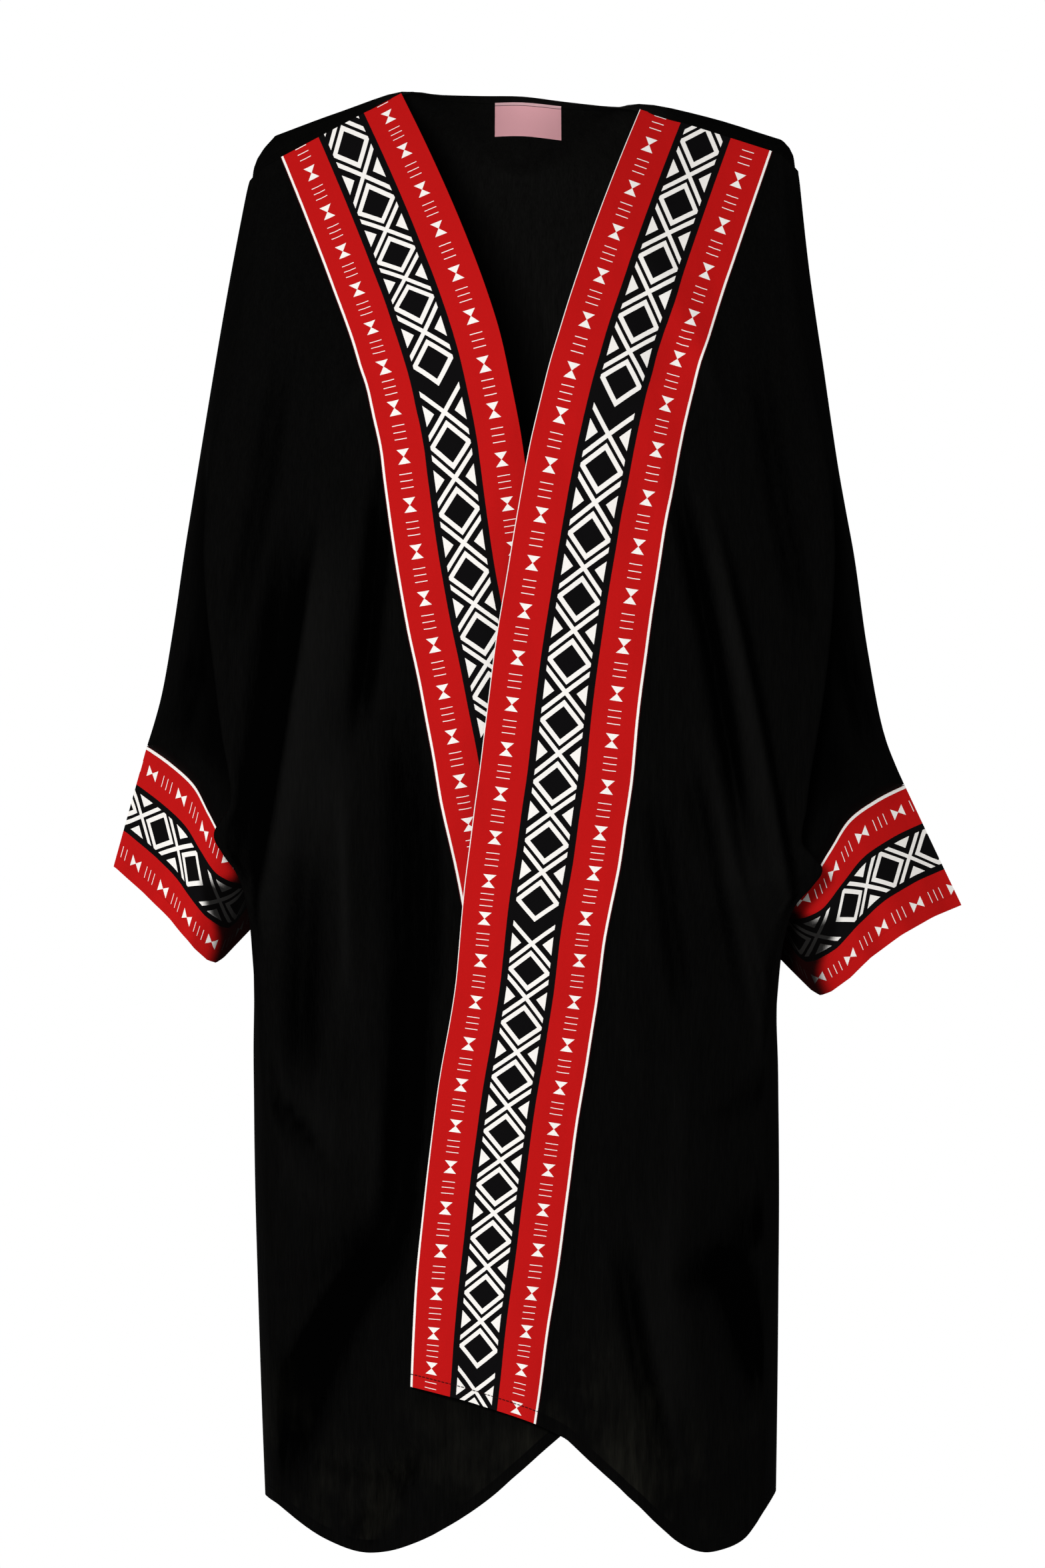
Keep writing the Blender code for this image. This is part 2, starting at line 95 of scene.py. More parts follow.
BACKGROUND_LIGHT = 0.06
world = bpy.data.worlds.new("studio")
bpy.context.scene.world = world
world.use_nodes = True
backdrop = world.node_tree.nodes["Background"]
backdrop.inputs["Color"].default_value = (1, 1, 1, 1)
seen = world.node_tree.nodes.new("ShaderNodeLightPath")
strength = world.node_tree.nodes.new("ShaderNodeMapRange")
strength.inputs["To Min"].default_value = BACKGROUND_LIGHT
strength.inputs["To Max"].default_value = 1.0
world.node_tree.links.new(seen.outputs["Is Camera Ray"], strength.inputs["Value"])
world.node_tree.links.new(strength.outputs["Result"], backdrop.inputs["Strength"])
bpy.context.scene.view_settings.view_transform = "Standard"

bpy.ops.mesh.primitive_circle_add(
    vertices=96, radius=FLOOR_RADIUS, fill_type="NGON", location=(0, 0, FLOOR_HEIGHT)
)
floor = bpy.context.active_object
floor.name = "floor"

# %% [markdown]
# A finish is a material made of nodes, and two small classes keep it short. Varying wraps a
# number that changes over the surface, and Python's own signs on it add Math nodes. Finish holds
# one material and makes every other node with a single method.


# %% Shader helpers
def maths(operation, swapped=False):
    """A method that adds one Math node, for Varying."""

    def method(self, *others):
        inputs = dict(enumerate((*others, self) if swapped else (self, *others)))
        return self.finish.node("ShaderNodeMath", {"operation": operation}, inputs)

    return method


class Varying:
    """A number that changes over a surface. Arithmetic on it adds Math nodes."""

    def __init__(self, finish, socket):
        self.finish = finish
        self.socket = socket

    __add__, __sub__, __rsub__ = maths("ADD"), maths("SUBTRACT"), maths("SUBTRACT", swapped=True)
    __mul__, __mod__, __abs__ = maths("MULTIPLY"), maths("FLOORED_MODULO"), maths("ABSOLUTE")
    __lt__, __gt__ = maths("LESS_THAN"), maths("GREATER_THAN")
    least, most = maths("MINIMUM"), maths("MAXIMUM")


class Finish:
    """One material and its nodes."""

    def __init__(self, name, **sockets):
        self.material = bpy.data.materials.new(name)
        self.material.use_nodes = True
        self.tree = self.material.node_tree
        self.shader = self.tree.nodes["Principled BSDF"]
        for socket, value in sockets.items():
            self.shader.inputs[socket.replace("_", " ")].default_value = value

    def node(self, kind, settings=None, inputs=None, output=0):
        """Adds a node, changes its settings, fills its sockets and gives one output."""
        made = self.tree.nodes.new(kind)
        for name, value in (settings or {}).items():
            setattr(made, name, value)
        for name, value in (inputs or {}).items():
            if isinstance(value, Varying):
                self.tree.links.new(value.socket, made.inputs[name])
            else:
                made.inputs[name].default_value = value
        return Varying(self, made.outputs[output])

    def feed(self, socket, value):
        self.tree.links.new(value.socket, self.shader.inputs[socket])

    def uv(self, name):
        """The two coordinates of a UV map."""
        place = self.node("ShaderNodeUVMap", {"uv_map": name})
        first = self.node("ShaderNodeSeparateXYZ", {}, {0: place})
        return first, Varying(self, first.socket.node.outputs[1])

    def noise(self, place, scale, detail, roughness=0.5):
        inputs = {"Vector": place, "Scale": scale, "Detail": detail, "Roughness": roughness}
        return self.node("ShaderNodeTexNoise", {}, inputs)

    def grain(self, scale, detail, roughness=0.5):
        """Noise over the piece itself, so fine along each axis."""
        place = self.node("ShaderNodeTexCoord", output="Object")
        place = self.node("ShaderNodeMapping", {}, {"Vector": place, "Scale": scale})
        return self.noise(place, 1.0, detail, roughness)

    def spread(self, value, low, high, to_low, to_high):
        """Value from low to high, stretched to another range and held at its ends."""
        inputs = {"Value": value, 1: low, 2: high, 3: to_low, 4: to_high}
        return self.node("ShaderNodeMapRange", {}, inputs)

    def blend(self, share, first, second, how="MIX"):
        """A colour between two others. Inputs 6 and 7 are the Mix node's colours."""
        settings = {"data_type": "RGBA", "blend_type": how}
        return self.node("ShaderNodeMix", settings, {0: share, 6: first, 7: second}, output=2)

    def bump(self, height, distance, strength=1.0, under=None):
        inputs = {"Height": height, "Distance": distance, "Strength": strength}
        if under is not None:
            inputs["Normal"] = under
        return self.node("ShaderNodeBump", {}, inputs)


floor_finish = Finish("pale_floor", Base_Color=(0.86, 0.86, 0.86, 1), Roughness=0.9)
floor.data.materials.append(floor_finish.material)

# %% [markdown]
# The garment is cut flat and takes its shape from the body that wears it. Each front is drawn as
# fifteen cross sections from the shoulder to the hem. A section gives where the front edge lies,
# where the cloth folds over the hanging sleeve, and where the outer seam is. A smooth surface goes
# through them all.

# %% Sections, in millimetres
# Columns: front edge out and up, fold over the sleeve out and up, seam out and up, border's width
RIGHT_OUTLINE = {
    "shoulder": (96, 18, 204, -39, 217, -51, 109),
    "upper_arm": (53, -75, 213, -122, 232, -128, 114),
    "chest": (21, -162, 228, -200, 244, -197, 115),
    "bust": (2, -250, 246, -275, 257, -276, 113),
    "ribs": (-10, -338, 252, -344, 268, -344, 113),
    "elbow": (-28, -431, 243, -450, 287, -462, 113),
    "cuff_outer": (-40, -488, 237, -497, 298, -500, 114),
    "cuff_front": (-47, -522, 232, -525, 260, -531, 115),
    "cuff_low": (-53, -556, 232, -550, 237, -572, 114),
    "cuff_inner": (-60, -588, 244, -572, 213, -580, 114),
    "underarm": (-66, -619, 227, -600, 201, -553, 114),
    "hip": (-76, -675, 213, -662, 211, -668, 114),
    "thigh": (-96, -771, 203, -775, 213, -781, 113),
    "knee": (-120, -890, 200, -912, 210, -925, 111),
    "hem": (-140, -984, 194, -1103, 204, -1097, 107),
}
LEFT_OUTLINE = {
    "shoulder": (93, 5, 205, -30, 219, -43, 111),
    "upper_arm": (60, -78, 213, -122, 228, -125, 115),
    "chest": (31, -164, 225, -200, 239, -200, 116),
    "bust": (8, -251, 242, -281, 251, -281, 118),
    "ribs": (-8, -338, 247, -344, 263, -347, 119),
    "elbow": (-27, -462, 235, -481, 289, -497, 121),
    "cuff_outer": (-33, -512, 228, -522, 303, -531, 122),
    "cuff_front": (-38, -547, 224, -553, 258, -559, 122),
    "cuff_low": (-42, -581, 222, -580, 229, -603, 121),
    "cuff_inner": (-46, -612, 237, -599, 204, -609, 119),
    "underarm": (-49, -644, 217, -625, 187, -578, 116),
    "hip": (-53, -688, 202, -684, 199, -688, 114),
    "thigh": (-68, -781, 194, -781, 203, -788, 114),
    "knee": (-82, -900, 193, -919, 203, -925, 112),
    "hem": (-88, -1009, 191, -1109, 201, -1094, 105),
}
# Columns: the front's depth at the middle and at the fold, and its lap over the sleeve, the same
# for the back, and the height of the back's centre line
DEPTHS = {
    "shoulder": (14, 13, 0, 42, -13, 0, 14),
    "upper_arm": (70, 42, 0, 88, 44, 0, -60),
    "chest": (100, 56, 0, 101, 56, 0, -140),
    "bust": (113, 67, 3, 102, 64, 0, -228),
    "ribs": (118, 76, 16, 99, 70, 8, -315),
    "elbow": (118, 84, 26, 96, 76, 20, -410),
    "cuff_outer": (117, 88, 31, 95, 78, 24, -475),
    "cuff_front": (116, 89, 32, 95, 78, 24, -510),
    "cuff_low": (116, 89, 31, 96, 77, 22, -545),
    "cuff_inner": (116, 87, 31, 97, 75, 18, -580),
    "underarm": (116, 82, 22, 98, 72, 10, -612),
    "hip": (118, 72, 0, 100, 66, 0, -675),
    "thigh": (120, 66, 0, 103, 61, 0, -785),
    "knee": (122, 62, 0, 106, 57, 0, -905),
    "hem": (122, 58, 0, 106, 54, 0, -1030),
}
# The ridge behind the shoulder seam. Columns: percent of the way to the arm, height on the right,
# height on the left, distance behind the seam
RIDGE = {
    "neck": (0, 1, 5, 13),
    "middle": (45, 13, 12, 16),
    "end": (83, 20, 12, 19),
    "corner": (96, 11, 12, 18),
    "arm": (100, -38, -38, 13),
}
SECTIONS = len(RIGHT_OUTLINE)
FIRST_CUFF, LAST_CUFF = 6, 10  # sections that end on the sleeve's end
HEM_BOW = {"right": (71 * MM, 1.8), "left": (51 * MM, 3.5), "back": (30 * MM, 1.4)}
SIDES = {"right": -1, "left": 1}  # the wearer's
CLOTH = 1.2 * MM
BAND_OUT = 0.3 * MM

# %% [markdown]
# The large folds start from the solids' own, and the finer creases are read off the photograph one
# by one. Each is a soft ridge or trough along a line, given by its top, its end, how far it bows
# aside, its half width and its height. A trough's height is negative.

# %% Folds and creases, in millimetres
# Columns: top out, top up, end out, end up, bow, half width, height
RIGHT_FOLDS = {
    "beside_ridge": (184, -330, 226, -620, 3, 14, -8),
    "band_trough": (112, -290, 131, -490, 2, 8, -8),
    "inner_trough": (96, -470, 108, -930, 13, 14, -9),
    "dark_mid": (170, -560, 178, -790, 0, 12, -5.5),
    "border_dent": (96, -210, 112, -300, 0, 6, -2.5),
    "mid_ridge": (142, -500, 140, -730, 0, 18, 5),
    "low_swag": (100, -860, 202, -1090, -8, 20, -9),
    "upper_drag": (72, -92, 150, -250, 8, 10, 3),
    "under_arm_drag": (190, -190, 232, -420, 3, 9, -3.5),
    "ridge_below": (142, -545, 140, -690, 0, 8, 3),
    "inner_ridge": (94, -540, 92, -700, 1, 7, 2.5),
    "by_band": (74, -520, 70, -700, 0, 7, -2.5),
    "side_drape": (214, -742, 160, -822, -6, 9, -4),
    "side_drape_low": (208, -800, 150, -868, -6, 11, 2.5),
    "corner_crease": (112, -905, 174, -1006, -4, 8, -5),
    "corner_ridge": (128, -900, 188, -990, -4, 8, 3.5),
    "hem_arc": (176, -1058, 70, -1062, -20, 7, -3),
    "hem_wedge": (84, -1056, 134, -1136, 2, 9, -4),
    "thigh_soft": (120, -760, 112, -900, 3, 14, 3),
}
LEFT_FOLDS = {
    "beside_ridge": (121, -290, 178, -600, -4, 8, -8),
    "border_dent": (131, -176, 93, -230, 0, 7, -2.5),
    "border_dent_low": (99, -280, 85, -364, 0, 6, -2),
    "lower_line": (166, -590, 200, -730, 0, 7, -4),
    "second_ridge": (145, -490, 192, -720, -3, 18, 6),
    "side_swag": (120, -940, 206, -850, 10, 18, -6),
    "low_ridge": (112, -860, 132, -1040, 3, 18, 6),
    "corner_trough": (158, -900, 198, -1020, 0, 15, -6),
    "upper_drag": (84, -92, 158, -240, -8, 10, 3),
    "under_arm_drag": (186, -190, 226, -420, 3, 9, -3.5),
    "ridge_below": (193, -540, 214, -640, 2, 8, 3),
    "second_crease": (128, -500, 168, -700, -2, 8, -3.5),
    "by_band": (102, -530, 128, -720, 0, 8, -3.5),
    "side_swag_upper": (204, -742, 150, -800, -8, 10, -3.5),
    "side_swag_lower": (204, -880, 168, -915, -5, 9, 3.5),
    "lobe_edge": (76, -892, 116, -1080, 4, 7, -4),
    "lobe_ridge": (92, -892, 130, -1080, 4, 8, 3),
    "corner_crease": (158, -900, 200, -1020, 2, 7, -4.5),
    "thigh_soft": (124, -760, 128, -890, 3, 14, 3),
}
BACK_FOLDS = {
    "left_long": (118, -240, 176, -640, 6, 22, 8),
    "left_trough": (146, -260, 206, -560, 4, 17, -8),
    "left_low": (96, -620, 116, -1010, 4, 26, 8),
    "centre": (6, -420, -8, -1020, 5, 28, 7),
    "centre_trough": (52, -520, 56, -1030, 0, 22, -6),
    "right_trough": (-60, -470, -48, -1030, 0, 22, -6),
    "right_low": (-104, -640, -124, -1020, -4, 26, 8),
    "right_long": (-124, -250, -182, -650, -6, 22, 8),
    "right_side": (-152, -270, -208, -570, -4, 17, -8),
    "yoke_left": (70, -40, 150, -260, 6, 12, 3),
    "yoke_right": (-70, -40, -152, -260, -6, 12, 3),
    "blade_left": (96, -150, 170, -420, 8, 9, -3.5),
    "blade_right": (-96, -150, -172, -420, -8, 9, -3.5),
    "waist_left": (70, -470, 96, -760, 2, 10, 3),
    "waist_right": (-80, -470, -92, -760, 2, 10, -3),
    "hem_left": (140, -820, 168, -1080, 3, 11, -5),
    "hem_right": (-150, -820, -172, -1080, -3, 11, -5),
    "hem_middle": (20, -760, 30, -1060, 3, 12, 4),
    "hem_trough": (-20, -760, -14, -1060, -2, 12, -3.5),
}
# Pleats drop steeply on their outer side and slope gently towards the front edge.
RIGHT_PLEATS = {
    "long_pleat": (158, -320, 213, -660, 0, 42, 9),
    "side_pleat": (214, -746, 146, -834, 0, 26, 5),
}
LEFT_PLEATS = {
    "long_pleat": (148, -310, 216, -650, -3, 24, 9),
    "low_pleat": (158, -560, 206, -760, -2, 20, 5),
}
SLEEVE_FOLDS = {
    "drag": (244, -360, 276, -500, 4, 8, -4),
    "drag_ridge": (238, -330, 262, -520, 3, 8, 3),
    "elbow": (262, -430, 240, -520, 6, 7, -2.5),
}

# %% [markdown]
# Smooth curves through the sections need only one helper: a cubic that passes through each point
# and leaves it along the mean of the slopes on both sides. The same helper runs down the columns
# and then across the rows, so a grid of a few hundred control points becomes a smooth cloth.

# %% Curves and folds
# Where along its line a fold fades in and out, each as (from, to)
FOLD_FADE = ((-0.12, 0.3), (0.72, 1.12))
PLEAT_FADE = ((-0.1, 0.3), (0.75, 1.1))
PLEAT_DROP = 6 * MM
CROWN_POWER = 2.4
TINY = 1e-9


def metres(table):
    """The rows of a table in millimetres as an array in metres."""
    return np.array(list(table.values()), float) * MM


def smooth_step(low, high, value):
    share = np.clip((value - low) / (high - low), 0, 1)
    return share * share * (3 - 2 * share)


def window(value, start, end):
    """Rises from 0 to 1 over the start and falls back over the end, each given as (from, to)."""
    return smooth_step(*start, value) * (1 - smooth_step(*end, value))


def through(points, steps):
    """A smooth curve through the points along axis 0, with so many steps in each interval."""
    gaps = np.linalg.norm(np.diff(points, axis=0), axis=-1)
    gaps = gaps.reshape(len(gaps), -1).mean(axis=1) + TINY
    gaps = gaps.reshape(-1, *[1] * (points.ndim - 1))
    slopes = np.diff(points, axis=0) / gaps
    means = (slopes[:-1] * gaps[1:] + slopes[1:] * gaps[:-1]) / (gaps[1:] + gaps[:-1])
    tangents = np.concatenate([slopes[:1], means, slopes[-1:]])
    if len(points) > 2:  # the ends are free, so the curve has no bend there
        for end, near in ((0, 1), (-1, -2)):
            tangents[end] = 1.5 * slopes[end] - 0.5 * tangents[near]
    rows = [points[0]]
    for i, count in enumerate(steps):
        for t in np.arange(1, count + 1) / count:
            start = (1 + 2 * t) * (1 - t) ** 2 * points[i] + t * t * (3 - 2 * t) * points[i + 1]
            turn = t * (1 - t) ** 2 * tangents[i] - t * t * (1 - t) * tangents[i + 1]
            rows.append(start + gaps[i] * turn)
    return np.array(rows)


def folds_at(out, up, table, fade=FOLD_FADE, drop=None):
    """How far folds lift the cloth at these places. A drop makes their outer side steep."""
    lift = np.zeros_like(out)
    for top_out, top_up, end_out, end_up, bow, half_width, height in table.values():
        start = np.array((top_out, top_up)) * MM
        run = np.array((end_out, end_up)) * MM - start
        length = math.hypot(*run)
        along = ((out - start[0]) * run[0] + (up - start[1]) * run[1]) / length**2
        aside = ((out - start[0]) * run[1] - (up - start[1]) * run[0]) / length
        aside = aside - bow * MM * np.sin(math.pi * np.clip(along, 0, 1))
        reach = half_width * MM if drop is None else np.where(aside > 0, half_width * MM, drop)
        lift += height * MM * window(along, *fade) * np.exp(-((aside / reach) ** 2))
    return lift


def crown(out, wing_out, centre, wing):
    """Depth of the chest or back at a distance from the centre line."""
    return wing + (centre - wing) * (1 - np.abs(out / wing_out) ** CROWN_POWER)


def quarter_turn(start, end, degrees):
    """A point on the quarter ellipse that leaves start sideways and reaches end front to back."""
    angle = math.radians(degrees)
    share = np.array((math.sin(angle), 1 - math.cos(angle), math.sin(angle)))
    return start + (end - start) * share


# %% [markdown]
# One section crosses half the garment in ten stretches: two over the printed band, two over the
# body, two round the fold above the sleeve, and four over the sleeve to its seam. Where the cloth
# laps over the sleeve, the sleeve starts again further in and behind, which leaves a deep fold.

# %% Control points of a front or half the back
# How many steps each stretch takes
ACROSS = {"band_middle": 1, "band": 1, "body_1": 4, "body_2": 4, "before_wing": 2, "wing": 2,
          "tuck": 3, "sleeve_1": 1, "sleeve_2": 1, "seam": 2}
STEPS = list(ACROSS.values())
DOWN = 2
BODY_SHARES = (0.36, 0.7)
HEM_BOW_GROWTH = 3
# From the fold to the seam without a lap: shares of the way out, back and up
SIDE_TURN = ((0.5, 0.24, 0.5), (0.8, 0.5, 0.8), (0.955, 0.76, 0.955))
SHOULDER_SEAM_DEPTH = 13 * MM
CUFF_DEPTH = 45 * MM
CUFF_SHAPE = (0, 0.76, 1, 0.76, 0)
FOLD_EDGE = 15 * MM
TUCK_FULL, TUCK_BACKSET, TUCK_GROWTH = 30 * MM, 24 * MM, 1.4
TUCK_TURNS = (32, 62)  # degrees
BACK_FIRST_SHARE, BACK_LEVEL_SHARE, BACK_SHIFT = 0.42, 0.3, 8 * MM


def net_of(outline, bow, is_front):
    """Control points of half a panel, (out, depth, up): a row per section, a column per line."""
    table, depths = metres(outline), metres(DEPTHS)
    edges, wings, seams, widths = table[:, :2], table[:, 2:4], table[:, 4:6], table[:, 6]
    centre, wing_depth, tuck = depths[:, :3].T if is_front else depths[:, 3:6].T
    if not is_front:
        # The back's lines start on the neck point of the shoulder and spread down the back
        back_up = depths[:, 6]
        level = back_up + (wings[:, 1] - back_up) * BACK_LEVEL_SHARE
        edges[1:] = np.stack([edges[0, 0] * wings[:, 0] / wings[1, 0], level], axis=-1)[1:]
        wings[1:, 0] -= BACK_SHIFT
        chord = np.linspace(0, 1, LAST_CUFF - FIRST_CUFF + 1)[:, None]
        first, last = seams[FIRST_CUFF].copy(), seams[LAST_CUFF].copy()
        seams[FIRST_CUFF : LAST_CUFF + 1] = first + chord * (last - first)
    seam_depth = np.zeros(SECTIONS)
    seam_depth[FIRST_CUFF : LAST_CUFF + 1] = CUFF_DEPTH * np.array(CUFF_SHAPE)
    seam_depth[0] = SHOULDER_SEAM_DEPTH if is_front else -SHOULDER_SEAM_DEPTH
    bow_height, bow_power = bow
    rows = []
    for i, (edge, wing) in enumerate(zip(edges, wings)):
        across = wing - edge
        if is_front and 0 < i < SECTIONS - 1:
            across = (edges[i - 1] - edges[i + 1])[::-1] * (1, -1)
        across = across / math.hypot(*across)
        to_band = widths[i] * across if is_front else (wing - edge) * BACK_FIRST_SHARE
        band = edge + to_band
        lines = [edge, (edge + band) / 2, band] + [band + (wing - band) * s for s in BODY_SHARES]
        inward = lines[-1] - wing
        lines += [wing + inward * min(0.5, FOLD_EDGE / math.hypot(*inward)), wing]
        low = max(0, (i - LAST_CUFF) / (SECTIONS - 1 - LAST_CUFF)) ** HEM_BOW_GROWTH
        points = []
        for line in lines:
            along = np.clip((edge[0] - line[0]) / (edge[0] - wing[0]), 0, 1)
            drop = low * bow_height * math.sin(math.pi * along**bow_power)
            depth = crown(line[0], wing[0], centre[i], wing_depth[i])
            points.append(np.array((line[0], depth, line[1] - drop)))
        turn = points[-1]
        seam = np.insert(seams[i], 1, seam_depth[i])
        flat = [turn + (seam - turn) * np.array(share) for share in SIDE_TURN]
        inner = turn + np.array((-tuck[i], -TUCK_BACKSET, 0))
        tucked = [inner] + [quarter_turn(inner, seam, degrees) for degrees in TUCK_TURNS]
        lapped = min(1, tuck[i] / TUCK_FULL * TUCK_GROWTH)
        points += [a + (b - a) * lapped for a, b in zip(flat, tucked)] + [seam]
        rows.append(points)
    return np.array(rows)


def finer(grid, across, down, reach, both_ends=False):
    """The same surface with more points: so many steps across each column and down each row.

    The columns within reach of the seam turn a corner at each end of the sleeve's end.
    """
    from_seam = np.arange(grid.shape[1])[::-1]
    if both_ends:
        from_seam = np.minimum(from_seam, from_seam[::-1])
    turning = np.clip((reach - from_seam) / 2, 0, 1)
    rows = len(grid) - 1
    first, last = (rows * section // (SECTIONS - 1) for section in (FIRST_CUFF, LAST_CUFF))
    whole = through(grid, [down] * rows)
    spans = ((0, first), (first, last), (last, rows))
    parts = [through(grid[a : b + 1], [down] * (b - a)) for a, b in spans]
    split = np.concatenate([parts[0], parts[1][1:], parts[2][1:]])
    lines = whole + (split - whole) * turning[None, :, None]
    return np.array([through(line, across) for line in lines])


# %% [markdown]
# The folds go on after the surface is fine enough to carry them. They fade out before the fold
# over the sleeve, so that both halves of the deep fold stay parallel. Where the two fronts lie on
# each other, each moves a little away, because one front covers the other.

# %% Fine grids of the fronts
FRONT_ACROSS, BACK_ACROSS = 6, 4
FINE_DOWN = 7
LAP = 4.5 * MM
LAP_OUT = (70 * MM, 190 * MM)
LAP_START = (90 * MM, 240 * MM)
HEM_RIPPLE = 3.5 * MM
HEM_RIPPLE_LENGTH, HEM_RIPPLE_SLANT = 78 * MM, 5
# Slow waves of unevenness: (millimetres high, radians a metre outward and upward, start)
CRUMPLE = ((0.5, 131, 23, 0.4), (0.4, 83, -61, 2.1), (0.3, 211, 47, 4.0))
# How much each hem was cut shorter near the front edge: (distance out, rise)
HEM_TRIM = {
    "right": ((-25, 4.5), (10, 4.5), (40, 2), (70, 0)),
    "left": ((-92, 0), (12, 10.5), (35, 12.5), (51, 8), (67, 5), (83, 2.5), (115, 4), (146, 0)),
}
FOLD_COLUMN = sum(STEPS[: list(ACROSS).index("wing")])
SLEEVE_COLUMN = sum(STEPS[: list(ACROSS).index("sleeve_1")])
SEAM_COLUMN = sum(STEPS)
# Where on a row each effect starts or ends: (from, to) in columns of the solids' grid
BODY_END = (FOLD_COLUMN - 4, FOLD_COLUMN + 1)
SHADE_END = (FOLD_COLUMN + 0.4, FOLD_COLUMN + 1.9)
SLEEVE_START = (SLEEVE_COLUMN - 1.5, SLEEVE_COLUMN + 0.5)
SLEEVE_END = (SEAM_COLUMN - 1.5, SEAM_COLUMN - 0.2)
# Where the painted shadow behind the fold over the sleeve starts and ends
TUCKED_COLUMNS = (FOLD_COLUMN + 1.8, FOLD_COLUMN + 2.3), (SLEEVE_COLUMN + 0.4, SLEEVE_COLUMN + 2.0)
# The same in metres below the shoulders
TUCKED_DROPS = (0.26, 0.36), (0.60, 0.69)
CRUMPLE_START = (0.05, 0.2)
RIPPLE_START = (0.8, 1.12)
TRIM_START = (0.88, 1.0)
# How the painted light and dark follow from a fold's height and slope
TONE_LIFT, TONE_OF_LIFT = 7 * MM, 0.8
TONE_OF_SLOPE, FREE_SLOPE, MOST_SLOPE = 1.5, 0.08, 1.2
SHORTEST_STEP = 0.3 * MM


def body_share(place):
    """1 on the chest or back, fading to 0 at the fold over the sleeve."""
    return 1 - smooth_step(*BODY_END, place)


def ripple(out, up):
    """The hem's soft waves, which die out upwards."""
    low = smooth_step(*RIPPLE_START, -up)
    turns = out * 2 * math.pi / HEM_RIPPLE_LENGTH + up * HEM_RIPPLE_SLANT
    return low * HEM_RIPPLE * np.sin(turns)


def crumple(out, up):
    """Low, slow unevenness, as cloth has that was packed and has hung out since."""
    waves = sum(high * np.sin(out * a + up * b + start) for high, a, b, start in CRUMPLE)
    return waves * MM * smooth_step(*CRUMPLE_START, -up)


def tone_map(out, up, place, lift):
    """(painted light and shade from the folds, painted shadow behind the fold over the sleeve)."""
    step = np.abs(np.gradient(out, axis=1)) + SHORTEST_STEP
    slope = np.abs(np.gradient(lift, axis=1) / step)
    light = lift / TONE_LIFT * TONE_OF_LIFT
    light = light - TONE_OF_SLOPE * np.clip(slope - FREE_SLOPE, 0, MOST_SLOPE)
    behind = window(place, *TUCKED_COLUMNS) * window(-up, *TUCKED_DROPS)
    return np.stack([np.clip(light, -1.5, 1), behind], axis=-1)


def front_grid(outline, folds, pleats, lap, bow, trim):
    """The front's control grid, its fine inner face as (out, y, up), and its painted tones."""
    control = finer(net_of(outline, bow, True), STEPS, DOWN, reach=3)
    fine = finer(control, [FRONT_ACROSS] * SEAM_COLUMN, FINE_DOWN, reach=4)
    out, depth, up = np.moveaxis(fine, -1, 0)
    trim_out, trim_up = np.array(trim).T * MM
    up = up + np.interp(out, trim_out, trim_up) * smooth_step(*TRIM_START, -up)
    place = np.arange(fine.shape[1])[None, :] / FRONT_ACROSS
    lift = folds_at(out, up, folds) + folds_at(out, up, pleats, PLEAT_FADE, PLEAT_DROP)
    on_sleeve = window(place, SLEEVE_START, SLEEVE_END) * folds_at(out, up, SLEEVE_FOLDS)
    folded = body_share(place) * lift + on_sleeve
    depth = depth + folded + body_share(place) * (ripple(out, up) + crumple(out, up))
    lapped = (1 - smooth_step(*LAP_OUT, out)) * smooth_step(*LAP_START, -up)
    depth = depth + lap * lapped
    # The folds' painted shading reaches nearer to the fold over the sleeve than the folds do
    tones = tone_map(out, up, place, (1 - smooth_step(*SHADE_END, place)) * lift + on_sleeve)
    return control * (1, -1, 1), np.stack([out, -depth, up], axis=-1), tones


CUTS = {
    "right": (RIGHT_OUTLINE, RIGHT_FOLDS, RIGHT_PLEATS, -LAP),
    "left": (LEFT_OUTLINE, LEFT_FOLDS, LEFT_PLEATS, LAP),
}
controls, fronts, tones = {}, {}, {}
for side, cut in CUTS.items():
    grids = front_grid(*cut, HEM_BOW[side], HEM_TRIM[side])
    controls[side], fronts[side], tones[side] = grids
    print("The", side, "front has", len(fronts[side]), "rows of points")

# %% [markdown]
# The back is one panel that wraps forward over the shoulders to meet the fronts. Its control grid
# borrows the fronts' seam rows, so the seams close, and a strip of columns spans the neck.

# %% Fine grid of the back
NECK_STEPS = 3
NECK_ROWS = 2  # rows that run round the neck
BACK_NECK_BOW = 0.8
NECK_RISE = 3.5 * MM
BACK_RIPPLE_SHIFT = 20 * MM
# The back's lit colour is painted light for its inside, which the neck opening shows, and painted
# shade darkens the rest to the fronts' black: (from, to) outward and down
NECK_SHOWN_OUT, NECK_SHOWN_DOWN = (100 * MM, 130 * MM), (0.26, 0.46)
BACK_SHADE = 0.63


